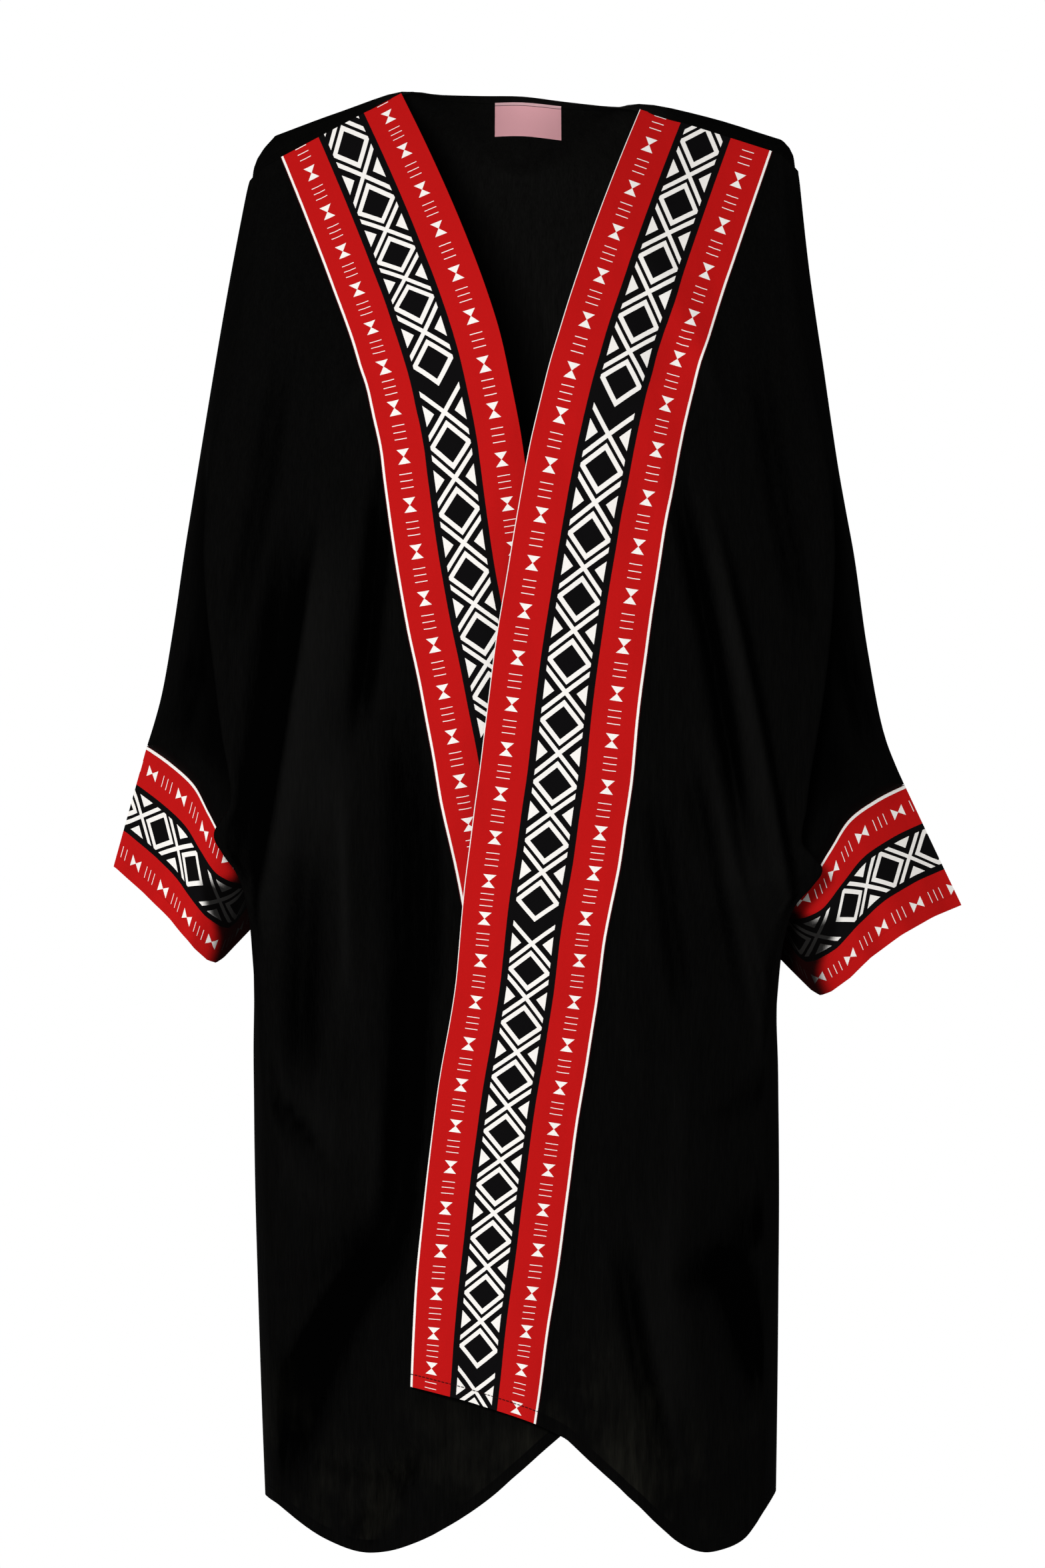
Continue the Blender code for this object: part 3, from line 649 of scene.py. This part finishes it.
def back_half(outline, front, ridge_column):
    """Control points of half the back, from the centre line out, as (out, y, up)."""
    grid = finer(net_of(outline, HEM_BOW["back"], False), STEPS, DOWN, reach=3)
    seam = front[0]
    share = (seam[:, 0] - seam[0, 0]) / (seam[-1, 0] - seam[0, 0])
    ridge = metres(RIDGE).T
    lifts = [np.interp(share, ridge[0] / MM / 100, ridge[i]) for i in (3, ridge_column)]
    grid[0] = seam
    grid[1] = seam + np.stack([0 * share, *lifts], axis=-1)
    grid[1, -1] = front[1, -1]
    for rows in (slice(0, DOWN * FIRST_CUFF + 1), slice(DOWN * LAST_CUFF, None)):
        grid[rows, -1] = front[rows, -1]
    centre_depth, back_up = metres(DEPTHS)[:, (3, 6)].T
    centre_line = np.stack([0 * back_up, centre_depth, back_up], axis=-1)
    centre_line[0, 2] += NECK_RISE
    centre = through(centre_line, [DOWN] * (SECTIONS - 1))
    t = np.arange(NECK_STEPS) / NECK_STEPS
    strip = []
    for row, (start, end) in enumerate(zip(centre, grid[:, 0])):
        bend, rise = t**CROWN_POWER, t**2
        if row < NECK_ROWS:
            bend, rise = 1 - (1 - t**2) ** BACK_NECK_BOW, t
        strip.append(start + (end - start) * np.stack([t, bend, rise], axis=-1))
    return np.concatenate([np.array(strip), grid], axis=1)


right_half = back_half(RIGHT_OUTLINE, controls["right"], ridge_column=1) * (-1, 1, 1)
left_half = back_half(LEFT_OUTLINE, controls["left"], ridge_column=2)
middle = (right_half[:, :1] + left_half[:, :1]) / 2
back_control = np.concatenate([right_half[:, :0:-1], middle, left_half[:, 1:]], axis=1)
steps = [BACK_ACROSS] * (back_control.shape[1] - 1)
back = finer(back_control, steps, FINE_DOWN, reach=4, both_ends=True)
fronts["right"] = fronts["right"] * (-1, 1, 1)

place = np.abs(np.arange(back.shape[1]) - back.shape[1] // 2)[None, :] / BACK_ACROSS - NECK_STEPS
out, up = back[..., 0], back[..., 2]
folded = body_share(place) * folds_at(out, up, BACK_FOLDS)
back_tones = tone_map(out, up, place, folded)
# Painted shade on the back outside what the neck opening shows
in_neck = 1 - smooth_step(*NECK_SHOWN_OUT, np.abs(out))
in_neck = in_neck * (1 - smooth_step(*NECK_SHOWN_DOWN, -up))
back_tones[..., 1] = np.maximum(back_tones[..., 1], BACK_SHADE * (1 - in_neck))
uneven = ripple(out + BACK_RIPPLE_SHIFT, up) + crumple(out, up)
back[..., 1] += folded + body_share(place) * uneven

first_row = DOWN * FIRST_CUFF * FINE_DOWN
last_row = DOWN * LAST_CUFF * FINE_DOWN
for edge, front in zip((0, -1), fronts.values()):
    back[: first_row + 1, edge] = front[: first_row + 1, -1]
    back[last_row:, edge] = front[last_row:, -1]
print("The back has", back.shape[0], "rows of", back.shape[1], "points")

# %% [markdown]
# A sheet is made as by hand: a plane grid is added, its points move to the computed places, and
# Solidify gives it a wall. UV maps go with it. The hem map tells how far each place is from the
# upper and lower edge in metres. The fold map holds painted light and shade: the folds' tones,
# the shadow behind the fold over each sleeve, the back's darkening outside the neck opening and
# the shade at each cuff's inner end. The print map runs across and along the printed border in
# millimetres.

# %% Sheet helpers
WELD = 0.02 * MM
SMOOTH_ANGLE = math.radians(50)


def running_length(points, axis):
    """Distance along a grid's rows or columns from their start."""
    steps = np.linalg.norm(np.diff(points, axis=axis), axis=-1)
    start = np.zeros_like(np.take(steps, [0], axis=axis))
    return np.concatenate([start, np.cumsum(steps, axis=axis)], axis=axis)


def normals_of(points):
    """The normals of a grid, as long as its cells are large."""
    return np.cross(np.gradient(points, axis=1), np.gradient(points, axis=0))


def outward(front):
    """Unit normals of a front, facing out of the garment."""
    normals = normals_of(front)
    normals = normals / np.linalg.norm(normals, axis=-1, keepdims=True)
    return -normals * np.sign(normals[..., 1].mean())


def hem_map(points):
    """(distance below the upper edge, distance above the lower edge) of each point of a grid."""
    down = running_length(points, 0)
    return np.stack([down, down[-1:] - down], axis=-1)


def sheet_piece(name, points, thickness, finish, maps, side=1, closed=False):
    """A grid bent to its points, with its UV maps, its wall on its outer side and its finish."""
    rows, columns = points.shape[:2]
    bpy.ops.mesh.primitive_grid_add(
        x_subdivisions=columns - 1, y_subdivisions=rows - 1, calc_uvs=False
    )
    piece = bpy.context.active_object
    piece.name = name
    mesh = piece.data
    mesh.vertices.foreach_set("co", points.reshape(-1).astype(np.float32))
    corner_points = np.empty(len(mesh.loops), np.int32)
    mesh.loops.foreach_get("vertex_index", corner_points)
    for map_name, places in maps.items():
        layer = mesh.uv_layers.new(name=map_name)
        layer.data.foreach_set("uv", places.reshape(-1, 2)[corner_points].reshape(-1))
    mesh.update()
    bpy.ops.object.mode_set(mode="EDIT")
    bpy.ops.mesh.select_all(action="SELECT")
    if closed:
        bpy.ops.mesh.remove_doubles(threshold=WELD)
    away = points - points.reshape(-1, 3).mean(axis=0) * (1, 0, 1)
    if side * (normals_of(points) * away).sum() < 0:
        bpy.ops.mesh.flip_normals()
    bpy.ops.object.mode_set(mode="OBJECT")
    wall = piece.modifiers.new("wall", "SOLIDIFY")
    wall.thickness = thickness
    wall.offset = 1
    bpy.ops.object.modifier_apply(modifier="wall")
    bpy.ops.object.shade_smooth_by_angle(angle=SMOOTH_ANGLE)
    mesh.materials.append(finish.material)
    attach(piece, "root")
    print(name, len(mesh.polygons), "faces")
    return piece


# %% [markdown]
# The crepe is nearly black and matt. Its yarns are uneven, which gives fine upright streaks, and
# the cloth is lightly crinkled along its length. Both are stretched noise. The light and dark of
# the folds is mostly painted, since so black a cloth hardly shows any. The shadow behind the fold
# over each sleeve, the light that shows through the cloth above the hem and the lighter inside of
# the back that the neck opening shows are painted too. The hems are turned twice and stitched, so
# they stand up a little.

# %% Black crepe
HEM, HEM_SEAM, NECK_HEM = 10 * MM, 8.5 * MM, 7 * MM
SHOW_THROUGH_LOW, SHOW_THROUGH_HIGH = 20 * MM, 130 * MM  # painted light shows through the cloth above the hem
# Painted shade in the deepest troughs, and painted light showing through the cloth above the hem
SHADED_BLACK, SHOW_THROUGH_BLACK = (0.0001, 0.0001, 0.0001, 1), (0.0105, 0.0102, 0.0078, 1)
# The fully lit colours. The back's is lighter: painted light for the inside the neck shows
FRONT_LIT_BLACK, BACK_LIT_BLACK = (0.0046, 0.0045, 0.0043, 1), (0.0118, 0.0115, 0.0108, 1)
# How much each thing adds to the tone or takes from it. The folds' light and dark and the shadow
# behind the fold over the sleeve are painted, and the streaks and slubs are the yarns' own.
FLAT_TONE, LEAST_TONE, PAINTED_FOLD_TONE, TUCKED_SHADOW_TONE = 0.42, 0.02, 0.45, 0.97
STREAK_TONE, SLUB_TONE = 0.22, 0.5


def crepe_finish(name, neck_hem, lit):
    """Crepe that goes from nearly no light in its troughs to the lit colour."""
    finish = Finish(
        name, Roughness=0.75, Specular_IOR_Level=0.006, Sheen_Weight=0.002, Sheen_Roughness=0.4
    )
    slub = finish.grain((900, 900, 80), 3.0, 0.6)
    streak = finish.grain((220, 220, 22), 2.0)
    crinkle = finish.grain((60, 60, 20), 3.0, 0.55)
    painted_fold_light, tucked = finish.uv("fold")
    below, above = finish.uv("hem")
    hem = finish.spread(above, HEM, HEM + 0.8 * MM, 1.0, 0.0)
    stitch = finish.spread(abs(above - HEM_SEAM), 0.2 * MM, 0.6 * MM, 1.0, 0.0)
    if neck_hem:
        hem = hem.most(finish.spread(below, NECK_HEM, NECK_HEM + 0.6 * MM, 1.0, 0.0))
    # Painted light and shade of the folds and behind the sleeve's fold, with the yarns' streaks
    tone = painted_fold_light * PAINTED_FOLD_TONE + FLAT_TONE + (streak - 0.5) * STREAK_TONE
    tone = (tone + (slub - 0.5) * SLUB_TONE).most(LEAST_TONE) * (1 - tucked * TUCKED_SHADOW_TONE)
    # Painted light that shows through the cloth in patches above the hem
    shows_through = finish.spread(above, SHOW_THROUGH_LOW, SHOW_THROUGH_HIGH, 1.0, 0.0) * (1 - hem)
    light_patch = finish.spread(finish.grain((14, 14, 8), 4.0, 0.65), 0.48, 0.72, 0.0, 1.0)
    light_patch = light_patch * (streak * 1.6 - 0.2).most(0.0) * (slub + 0.3)
    colour = finish.blend(tone, SHADED_BLACK, lit)
    finish.feed("Base Color", finish.blend(shows_through * light_patch, colour, SHOW_THROUGH_BLACK))
    height = crinkle * 1.2 + streak * 0.4 + hem * 0.35 - stitch * 0.2
    soft = finish.bump(height, 1.0 * MM, 0.8)
    finish.feed("Normal", finish.bump(slub, 0.18 * MM, 0.6, soft))
    return finish


crepe = crepe_finish("black_crepe", False, FRONT_LIT_BLACK)
crepe_back = crepe_finish("black_crepe_back", True, BACK_LIT_BLACK)

# %% [markdown]
# The border is a traditional geometric pattern, printed in off-white and black on red cloth. It is
# charted here as plain sums on the print map: u runs across the border in millimetres from the
# front edge, and v runs down it. A black strip carries a lattice of diamonds. The red stripe on
# each side carries an hourglass and three short bars in turn. The whole chart repeats.

# %% Printed border, in millimetres
BORDER, REPEAT = 114.0, 381.0
STRIP_MIDDLE, STRIP_HALF, LATTICE_HALF = 56.6, 21.4, 16.2
DIAMOND, LAST_DIAMOND, LAST_INNER = 46, 345.5, 368  # the last one runs on to the repeat's end
DIAMOND_LINE, SIDE_TRIANGLE = 2.2, 8.4
INNER_DIAMOND, INNER_LINE = 14.95, 2.45
FRONT_MOTIFS, OUTER_MOTIFS = 18.0, 95.0
MOTIF_REPEAT = 35.0
LAST_MOTIF = 10 * MOTIF_REPEAT
GLASS_HALF, GLASS_SPREAD, GLASS_WAIST = 5.3, 0.92, 0.1
BAR_GAP, BAR_LINE, BAR_REACH = 4.95, 0.3, 5.0
OUTER_EDGE = 113.25
EDGE_LINE, CUFF_EDGE_LINE = 0.95, 1.35
STITCH_REPEAT, STITCH_LENGTH = 3.4, 2.6
RED, WHITE, BLACK = (0.480, 0.006, 0.006, 1), (0.90, 0.87, 0.83, 1), (0.0026, 0.0023, 0.0026, 1)
EDGE_RED, STITCH_RED = (0.05, 0.004, 0.005, 1), (0.01, 0.003, 0.003, 1)
CUFF_SHADE, SHADE_RED = 0.982, (0.0006, 0.0004, 0.0004, 1)


def print_finish(name, front_line=False, cuff=False):
    """The printed cloth. A front line is the white line on the border that lies on top."""
    finish = Finish(name, Roughness=0.8, Specular_IOR_Level=0.04, Sheen_Weight=0.005)
    u, v = finish.uv("print")
    wobble = finish.noise(finish.node("ShaderNodeUVMap", {"uv_map": "print"}), 0.22, 1.0) - 0.5
    u = u + wobble * 0.2
    w = (v + wobble * 0.12) % REPEAT

    # The lattice on the black strip
    x = abs(u - STRIP_MIDDLE)
    regular = w < LAST_DIAMOND
    zigzag = abs((w + DIAMOND / 2) % DIAMOND - DIAMOND / 2)
    zigzag = zigzag * regular + (REPEAT - w) * (1 - regular)
    from_centre = x + abs(w % DIAMOND - DIAMOND / 2)
    inner = (abs(from_centre - INNER_DIAMOND) < INNER_LINE) * (w < LAST_INNER)
    lattice = (abs(x - zigzag) < DIAMOND_LINE).most(x - zigzag > SIDE_TRIANGLE).most(inner)
    lattice = lattice * (x < LATTICE_HALF)

    # The motifs on the red stripes
    place = w % MOTIF_REPEAT
    regular = w < LAST_MOTIF
    glass = place.least(MOTIF_REPEAT - place) * regular
    glass = glass + (w - LAST_MOTIF).least(REPEAT - w) * (1 - regular)
    bar = abs(place - MOTIF_REPEAT / 2) * regular
    bar = bar + abs(w - (LAST_MOTIF + REPEAT) / 2) * (1 - regular)
    aside = abs(u - FRONT_MOTIFS).least(abs(u - OUTER_MOTIFS))
    hourglass = (glass < GLASS_HALF) * (aside < glass * GLASS_SPREAD + GLASS_WAIST)
    bars = (bar < BAR_LINE).most(abs(bar - BAR_GAP) < BAR_LINE) * (aside < BAR_REACH)

    # The white lines along the edges, and the colours
    above = finish.uv("hem")[1]
    line_half = CUFF_EDGE_LINE if cuff else EDGE_LINE
    white = lattice.most(hourglass.most(bars)).most(abs(u - OUTER_EDGE + line_half) < line_half)
    if front_line:  # it narrows from the hem up
        white = white.most(u < finish.spread(above, 60 * MM, 230 * MM, 1.9, 0.6))
    colour = finish.blend(x < STRIP_HALF, RED, BLACK)
    colour = finish.blend(white, colour, WHITE)
    colour = finish.blend(u > OUTER_EDGE, colour, EDGE_RED)
    weave = finish.grain((1500, 1500, 1500), 2.0, 0.6)
    crinkle = finish.grain((90, 90, 40), 3.0)
    shade = finish.spread(weave, 0.3, 0.7, 0.93, 1.0)
    colour = finish.blend(1.0, colour, shade, "MULTIPLY")
    stitch = finish.spread(abs(above - HEM), 0.3 * MM, 0.6 * MM, 1.0, 0.0)
    stitch = stitch * (u % STITCH_REPEAT < STITCH_LENGTH)
    if cuff:
        colour = finish.blend(finish.uv("fold")[0] * CUFF_SHADE, colour, SHADE_RED)
    else:
        colour = finish.blend(stitch * 0.9, colour, STITCH_RED)
    finish.feed("Base Color", colour)
    turned_up = finish.spread(above, HEM - 0.5 * MM, HEM + 0.5 * MM, 1.0, 0.0)
    soft = finish.bump(crinkle * 0.7 + turned_up * 0.35 - stitch * 0.3, 1.0 * MM, 0.7)
    finish.feed("Normal", finish.bump(weave, 0.12 * MM, 0.5, soft))
    return finish


over_print = print_finish("border_print", front_line=True)
under_print = print_finish("border_print_plain_edge")
cuff_print = print_finish("border_print_cuff", cuff=True)

# %% [markdown]
# Three large panels are sewn from the crepe: the back and the two fronts, which carry the cut-in
# sleeves. The two long borders lie on the front edges, and each is as long as its front. Each
# border's print is placed row by row at the heights where the photograph shows its motifs.

# %% Panels and borders
# Where the print lies: (height, place on the chart), in millimetres, for the motifs near the front
# edge, for the lattice and for the outer motifs. A bent border is tighter on one side.
PRINT_PLACES = {
    "right": (
        ((40, 88), (0, 140), (-27, 175), (-59, 210), (-90, 245), (-126, 280), (-160, 315),
         (-198, 350), (-235, 381), (-274, 416), (-309, 451), (-1090, 1231)),
        ((40, 97), (-24, 161), (-71, 207), (-111, 253), (-149, 299), (-196, 345), (-262, 404),
         (-315, 450), (-365, 496), (-412, 542), (-1090, 1206)),
        ((40, 83), (-45, 175), (-108, 245), (-169, 315), (-200, 350), (-233, 381), (-310, 451),
         (-384, 521), (-458, 591), (-529, 661), (-563, 696), (-1090, 1239)),
    ),
    "left": (
        ((40, 112), (-23, 175), (-93, 245), (-163, 315), (-239, 381), (-318, 451), (-394, 521),
         (-468, 591), (-539, 661), (-608, 731), (-671, 797), (-737, 867), (-802, 937),
         (-867, 1007), (-935, 1077), (-994, 1143), (-1090, 1249)),
        ((40, 97), (-24, 161), (-117, 253), (-212, 345), (-335, 450), (-434, 542), (-531, 634),
         (-624, 726), (-722, 831), (-808, 923), (-892, 1015), (-978, 1107), (-1090, 1227)),
        ((40, 157), (-51, 245), (-124, 315), (-194, 381), (-266, 451), (-343, 521), (-422, 591),
         (-497, 661), (-570, 731), (-638, 797), (-704, 867), (-772, 937), (-837, 1007),
         (-900, 1077), (-965, 1143), (-1025, 1213), (-1090, 1286)),
    ),
}
FRONT_PLAIN, OUTER_PLAIN, PLAIN_WIDTH = 36.5, 77.5, 6.0  # plain cloth by the lattice


def chart_rows(u, front, middle, outer):
    """The print map. The lattice and each row of motifs have their own places down the border."""
    to_front = np.clip((FRONT_PLAIN - u) / PLAIN_WIDTH, 0, 1)
    to_outer = np.clip((u - OUTER_PLAIN) / PLAIN_WIDTH, 0, 1)
    down = middle + (front - middle) * to_front + (outer - middle) * to_outer
    return np.stack([u, down], axis=-1)


def print_map(strip, side):
    """The chart's place of each point, from the height at which each row of motifs lies there."""
    across = running_length(strip, 1)
    u = across / across[:, -1:] * BORDER
    down = []
    for middle_u, places in zip((FRONT_MOTIFS, STRIP_MIDDLE, OUTER_MOTIFS), PRINT_PLACES[side]):
        up = [np.interp(middle_u, line_u, line[:, 2]) / MM for line_u, line in zip(u, strip)]
        heights, chart_places = np.array(places, float).T
        down.append(np.interp(-np.array(up), -heights, chart_places)[:, None])
    return chart_rows(u, *down)


BAND_COLUMNS = FRONT_ACROSS * (ACROSS["band_middle"] + ACROSS["band"])
border_finishes = {"right": under_print, "left": over_print}
panels = {}
for side, front in fronts.items():
    maps = {"hem": hem_map(front), "fold": tones[side]}
    panel = sheet_piece("front_panel_" + side, front, CLOTH, crepe, maps)
    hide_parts("front_" + side)
    strip = (front + outward(front) * (CLOTH + BAND_OUT))[:, : BAND_COLUMNS + 1]
    maps = {"print": print_map(strip, side), "hem": hem_map(strip)}
    border = sheet_piece("front_border_" + side, strip, CLOTH, border_finishes[side], maps)
    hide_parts("band_" + side)
    panels[side] = (panel, border)
maps = {"hem": hem_map(back), "fold": back_tones}
back_panel = sheet_piece("back_panel", back, CLOTH, crepe_back, maps)
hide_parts("back")

# %% [markdown]
# Each sleeve ends in a tube of the same printed cloth, sewn on so that its white line lies at the
# seam. It hangs from the sleeve's end and ripples a little more towards its open end.

# %% Cuffs
CUFF_CLEAR, CUFF_CLEAR_POWER = 4 * MM, 4
CUFF_SET_BACK, CUFF_WIDTH = 0.9 * MM, 104 * MM
CUFF_ROWS = 26
# The way from the sleeve's end to the open end in millimetres, at the outer and the inner fold
CUFF_FALLS = {
    "right": ((-27, 0, -97), (-16, 0, -93)),
    "left": ((45, 0, -97), (18, 0, -92)),
}
CUFF_WAVE, WAVE_GROWTH = 2.2 * MM, 1.3
CUFF_WAVES = ((1, 61, 0), (0.6, 37, 1))  # (share, length in millimetres, start)
PULL_GROWTH = 1.6
# The inner end is shaded from this share of the seen half, less the backset. On the print's black
# strip, where a crease runs, the shade reaches further out.
SHADE_SHARE, SHADE_BACKSET, SHADE_EDGE = 0.745, 13 * MM, 15 * MM
CREASE_REACH, CREASE_HALF = 31 * MM, 20
CUFF_PRINT_WIDTH = 112.3
# Where the print lies at the outer fold and how it stretches along the ring: lower motifs,
# lattice, upper motifs
CUFF_CHARTS = {
    "right": ((258.4, 0.99), (261.8, 1.007), (267.4, 0.97)),
    "left": ((246.6, 0.95), (251.9, 1.008), (265.3, 0.89)),
}
# The open edge as the front shows it, from the outer tip to the inner fold: (out, up)
CUFF_EDGES = {
    "right": ((325, -597), (301, -618), (279, -640), (261, -662), (251, -671), (245, -673),
              (239, -669), (218, -647)),
    "left": ((349, -628), (327, -637), (302, -651), (277, -669), (261, -685), (246, -696),
             (238, -699), (231, -695), (206, -670)),
}


def cuff_grid(front, half_back, falls):
    """The tube under a sleeve, from the inner fold round the back and the front."""
    front_arc = front[first_row : last_row + 1, -1]
    back_arc = half_back[first_row : last_row + 1, -1]
    ring = np.concatenate([back_arc[::-1], front_arc[1:]])
    outer, inner = front_arc[0], front_arc[-1]
    run = inner - outer
    share = np.clip(((ring - outer) @ run) / (run @ run), 0, 1)[:, None]
    ring = ring - run / np.linalg.norm(run) * CUFF_CLEAR * share**CUFF_CLEAR_POWER
    fall = falls[0] + (falls[1] - falls[0]) * share
    starts = CUFF_SET_BACK / CUFF_WIDTH
    levels = starts + (1 - starts) * np.linspace(0, 1, CUFF_ROWS)
    return np.array([ring + fall * MM * level for level in levels])


def edge_line(corners, share, side):
    """Points at these shares of the line through the corners, as (x, z)."""
    corners = np.array(corners) * MM
    along = running_length(corners, 0)
    out, up = (np.interp(share * along[-1], along, corners[:, i]) for i in (0, 1))
    return np.stack([side * out, up], axis=-1)


middle_column = back.shape[1] // 2
back_halves = {"right": back[:, middle_column::-1], "left": back[:, middle_column:]}
level = np.linspace(0, 1, CUFF_ROWS)[:, None]
for side, front in fronts.items():
    tube = cuff_grid(front, back_halves[side], np.array(CUFF_FALLS[side]))
    seen = slice(tube.shape[1] // 2, None)
    round_length = running_length(tube, 1)[:1]
    from_outer = round_length - round_length[:, seen.start]
    turns = from_outer / MM * 2 * math.pi
    wave = sum(high * np.sin(turns / length + start) for high, length, start in CUFF_WAVES)
    fade = np.sin(math.pi * np.linspace(0, 1, tube.shape[1]))[None, :] ** 0.5
    tube[..., 1] += CUFF_WAVE * level**WAVE_GROWTH * wave * fade
    pulled = edge_line(CUFF_EDGES[side], from_outer[0, seen] / from_outer[0, -1], SIDES[side])
    tube[:, seen, ::2] += level[..., None] ** PULL_GROWTH * (pulled - tube[-1, seen, ::2])
    down = running_length(tube, 0)
    u = BORDER - CUFF_PRINT_WIDTH * down / down[-1:]
    places = (start + stretch * from_outer / MM for start, stretch in CUFF_CHARTS[side])
    crease = CREASE_REACH * np.exp(-(((u - STRIP_MIDDLE) / CREASE_HALF) ** 2))
    turn = from_outer[0, -1] * SHADE_SHARE - SHADE_BACKSET - crease
    inner = smooth_step(0, SHADE_EDGE, from_outer - turn)
    tone = np.stack([inner, inner], axis=-1)
    maps = {"print": chart_rows(u, *places), "hem": hem_map(tube), "fold": tone}
    cuff = sheet_piece("sleeve_end_" + side, tube, CLOTH, cuff_print, maps, closed=True)
    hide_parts("cuff_" + side)

# %% [markdown]
# The satin label is sewn inside the back neck by its folded upper edge. It is left blank. It hangs
# a little askew, as in the photograph.

# %% Label
LABEL_WIDTH, LABEL_HEIGHT, LABEL_THICKNESS = 53 * MM, 26 * MM, 0.8 * MM
LABEL_DROP, LABEL_GAP, LABEL_ASIDE = 4 * MM, 0.6 * MM, 4.5 * MM
LABEL_SLANT = -0.03
LABEL_ROWS, LABEL_COLUMNS = 14, 28
LABEL_REACH = 3 * DOWN * FINE_DOWN  # the back's rows that the label may lie on
LABEL_FOLD, LABEL_STITCH = 2.0 * MM, 2.4 * MM
# The pinks are the satin's own colour made lighter by painted light, for the shade inside the neck
DARK_PINK, LIGHT_PINK = (0.93, 0.42, 0.47, 1), (0.97, 0.53, 0.57, 1)
FOLD_PINK, LABEL_THREAD = (0.86, 0.52, 0.55, 1), (0.03, 0.02, 0.02, 1)


def label_grid():
    """The label's back face, which lies on the inner side of the back just under the neck."""
    reach = NECK_STEPS * BACK_ACROSS
    strip = back[:LABEL_REACH, middle_column - reach : middle_column + reach + 1]
    rows = []
    for down in np.linspace(LABEL_DROP, LABEL_DROP + LABEL_HEIGHT, LABEL_ROWS):
        line = []
        for out in LABEL_ASIDE + np.linspace(-0.5, 0.5, LABEL_COLUMNS) * LABEL_WIDTH:
            depths, heights = (
                np.array([np.interp(out, row[:, 0], row[:, i]) for row in strip]) for i in (1, 2)
            )
            up = heights[0] - down - out * LABEL_SLANT
            line.append((out, np.interp(-up, -heights, depths) - LABEL_GAP, up))
        rows.append(line)
    return np.array(rows)


def satin_finish():
    finish = Finish("pink_satin", Roughness=0.42, Specular_IOR_Level=0.4, Sheen_Weight=0.1)
    below = finish.uv("hem")[0]
    yarn = finish.grain((4000, 4000, 500), 2.0)
    pink = finish.blend(yarn, DARK_PINK, LIGHT_PINK)
    pink = finish.blend(below < LABEL_FOLD, pink, FOLD_PINK)
    stitched = abs(below - LABEL_STITCH) < 0.25 * MM
    finish.feed("Base Color", finish.blend(stitched, pink, LABEL_THREAD))
    finish.feed("Normal", finish.bump(yarn - stitched * 0.5, 0.15 * MM, 0.5))
    return finish


points = label_grid()
maps = {"hem": hem_map(points)}
label = sheet_piece("neck_label", points, LABEL_THICKNESS, satin_finish(), maps, side=-1)
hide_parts("label")

# %% [markdown]
# Each side's panel and border are looked up, and the view layer is brought up to date.

# %% Update
for side in SIDES:
    panel, border = panels[side]

bpy.context.view_layer.update()
